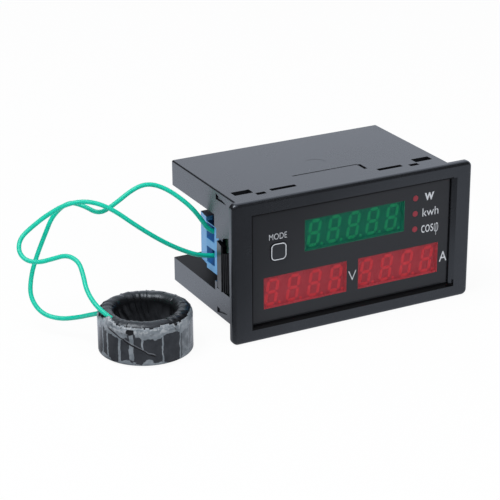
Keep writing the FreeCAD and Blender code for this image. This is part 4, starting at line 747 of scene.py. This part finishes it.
def key_line():
    """A thin printed line just inside the key's rounded edge."""
    mesh = bmesh.new()
    bmesh.ops.create_grid(mesh, x_segments=1, y_segments=1, size=0.5)
    bmesh.ops.scale(mesh, verts=mesh.verts[:], vec=LINE_SIZE)
    bmesh.ops.bevel(mesh, geom=mesh.verts[:], offset=LINE_ROUND, offset_type="OFFSET", segments=8,
                    profile=0.5, affect="VERTICES", material=-1)
    inset = bmesh.ops.inset_region(mesh, faces=mesh.faces[:], thickness=LINE_BREADTH, depth=0.0,
                                   use_boundary=True, use_even_offset=True)
    inner = [face for face in mesh.faces if face not in inset["faces"]]
    bmesh.ops.delete(mesh, geom=inner, context="FACES")
    bmesh.ops.rotate(mesh, verts=mesh.verts[:], cent=(0, 0, 0),
                     matrix=Matrix.Rotation(math.radians(90.0), 3, "X"))
    bmesh.ops.translate(mesh, verts=mesh.verts[:],
                        vec=KEY_MIDDLE + Vector((0.0, KEY_FRONT - INK_PROUD, 0.0)))
    return mesh


key_outline = finish_mesh("key_outline", key_line(), ink_finish.material, "mode_key")
print("key line faces:", len(key_outline.data.polygons))

# %% [markdown]
# The floor is a wide pale sheet. Its white comes from what the camera is told to see, not from more
# light, so that the meter keeps its own brightness and the floor keeps a trace of shadow. A black
# glossy case shows little else than what it mirrors, so mirror rays get a floor and a sky of their
# own: bluish and bright behind the meter, dark in front of it and overhead to the right.

# %% Floor
floor_mesh = bmesh.new()
bmesh.ops.create_circle(floor_mesh, cap_ends=True, segments=96, radius=3.0)
floor_data = bpy.data.meshes.new("floor")
floor_mesh.to_mesh(floor_data)
floor_mesh.free()
floor = bpy.data.objects.new("floor", floor_data)
bpy.context.collection.objects.link(floor)

paper = Finish("floor_paper", base_color=(0.86, 0.86, 0.87), roughness=0.9, specular_ior_level=0.0)
glossy_ray = paper.node("ShaderNodeLightPath", outlet="Is Glossy Ray")
camera_ray = paper.node("ShaderNodeLightPath", outlet="Is Camera Ray")
through_ray = paper.node("ShaderNodeLightPath", outlet="Is Transmission Ray")
floor_across, floor_deep, _ = paper.parts(paper.place())
near_meter = (floor_across + floor_deep).ramp(-0.088, -0.045)
TOLD_SHARE = 0.94
white_glow = paper.node("ShaderNodeEmission")
far_glow = paper.node("ShaderNodeEmission", {}, {"Color": (0.21, 0.215, 0.235)})
near_glow = paper.node("ShaderNodeEmission", {}, {"Color": (0.62, 0.64, 0.70)})
behind_glow = paper.node("ShaderNodeEmission", {}, {"Color": (0.84, 0.89, 1.0), "Strength": 1.3})
mirrored = paper.node("ShaderNodeMixShader", {}, {0: near_meter, 1: far_glow, 2: near_glow})
mirrored = paper.node("ShaderNodeMixShader", {}, {
    0: floor_deep.ramp(-0.012, 0.02), 1: mirrored, 2: behind_glow})
seen = paper.node("ShaderNodeMixShader", {}, {0: glossy_ray, 1: white_glow, 2: mirrored})
told = camera_ray.or_else(through_ray) * TOLD_SHARE
share = told.or_else(glossy_ray)
dressed = paper.node("ShaderNodeMixShader", {}, {
    0: share, 1: Wave(paper, paper.shader.outputs[0]), 2: seen})
paper.put(paper.tree.nodes["Material Output"].inputs["Surface"], dressed)
floor_data.materials.append(paper.material)

# %% Sky
world = bpy.data.worlds.new("studio")
bpy.context.scene.world = world
world.use_nodes = True
sky_tree = world.node_tree


def sky_node(kind, settings=None, sockets=None):
    """Makes one node of the sky: its settings first, then its sockets' values or links."""
    node = sky_tree.nodes.new(kind)
    for key, value in (settings or {}).items():
        setattr(node, key, value)
    for key, value in (sockets or {}).items():
        if isinstance(value, bpy.types.NodeSocket):
            sky_tree.links.new(value, node.inputs[key])
        else:
            node.inputs[key].default_value = value
    return node


def sky_ramp(value, low, high):
    return sky_node("ShaderNodeMapRange", {"interpolation_type": "SMOOTHSTEP"},
                    {0: value, 1: low, 2: high}).outputs[0]


def sky_math(operation, one, other):
    return sky_node("ShaderNodeMath", {"operation": operation}, {0: one, 1: other}).outputs[0]


plain_sky = sky_tree.nodes["Background"]
plain_sky.inputs["Color"].default_value = (0.93, 0.965, 1.0, 1.0)
plain_sky.inputs["Strength"].default_value = 0.36
white_sky = sky_node("ShaderNodeBackground")
mirror_sky = sky_node("ShaderNodeBackground", {}, {"Color": (0.84, 0.89, 1.0, 1.0), "Strength": 1.08})
dark_sky = sky_node("ShaderNodeBackground", {}, {"Strength": 0.06})
direction = sky_node("ShaderNodeSeparateXYZ", {}, {
    0: sky_node("ShaderNodeTexCoord").outputs["Generated"]}).outputs
bright = sky_math("MULTIPLY", sky_ramp(direction[0], 0.0, 0.2), sky_ramp(direction[1], -0.2, 0.05))
overhead = sky_math("MULTIPLY", sky_ramp(direction[2], 0.6, 0.75),
                    sky_math("SUBTRACT", 1.0, sky_ramp(direction[0], 0.15, 0.35)))
bright = sky_math("MAXIMUM", bright, overhead)
mirrored_sky = sky_node("ShaderNodeMixShader", {}, {
    0: bright, 1: dark_sky.outputs[0], 2: mirror_sky.outputs[0]})
path = sky_node("ShaderNodeLightPath").outputs
straight = sky_math("MAXIMUM", path["Is Camera Ray"], path["Is Transmission Ray"])
lit = sky_node("ShaderNodeMixShader", {}, {
    0: path["Is Glossy Ray"], 1: plain_sky.outputs[0], 2: mirrored_sky.outputs[0]})
sky_mix = sky_node("ShaderNodeMixShader", {}, {
    0: straight, 1: lit.outputs[0], 2: white_sky.outputs[0]})
sky_tree.links.new(sky_mix.outputs[0], sky_tree.nodes["World Output"].inputs["Surface"])

# %% [markdown]
# Two large soft lamps light the table: a main one high to the left, which draws the highlights along
# the wires and the tape, and a weaker one from the front. The front one lights but isn't mirrored, so
# that it leaves no pale line along the bezel's rounded edges.

# %% Lamps
def soft_lamp(name, place, size, power):
    lamp = bpy.data.lights.new(name, "AREA")
    lamp.shape = "SQUARE"
    lamp.size = size
    lamp.energy = power
    holder = bpy.data.objects.new(name, lamp)
    bpy.context.collection.objects.link(holder)
    holder.location = place
    holder.rotation_euler = (-Vector(place)).to_track_quat("-Z", "Y").to_euler()
    return holder


soft_lamp("main_lamp", (-0.5, -0.1, 1.1), 0.7, 10.0)
soft_lamp("front_lamp", (0.3, -1.15, 0.6), 0.8, 6.0).visible_glossy = False

bpy.context.scene.view_settings.view_transform = "Standard"
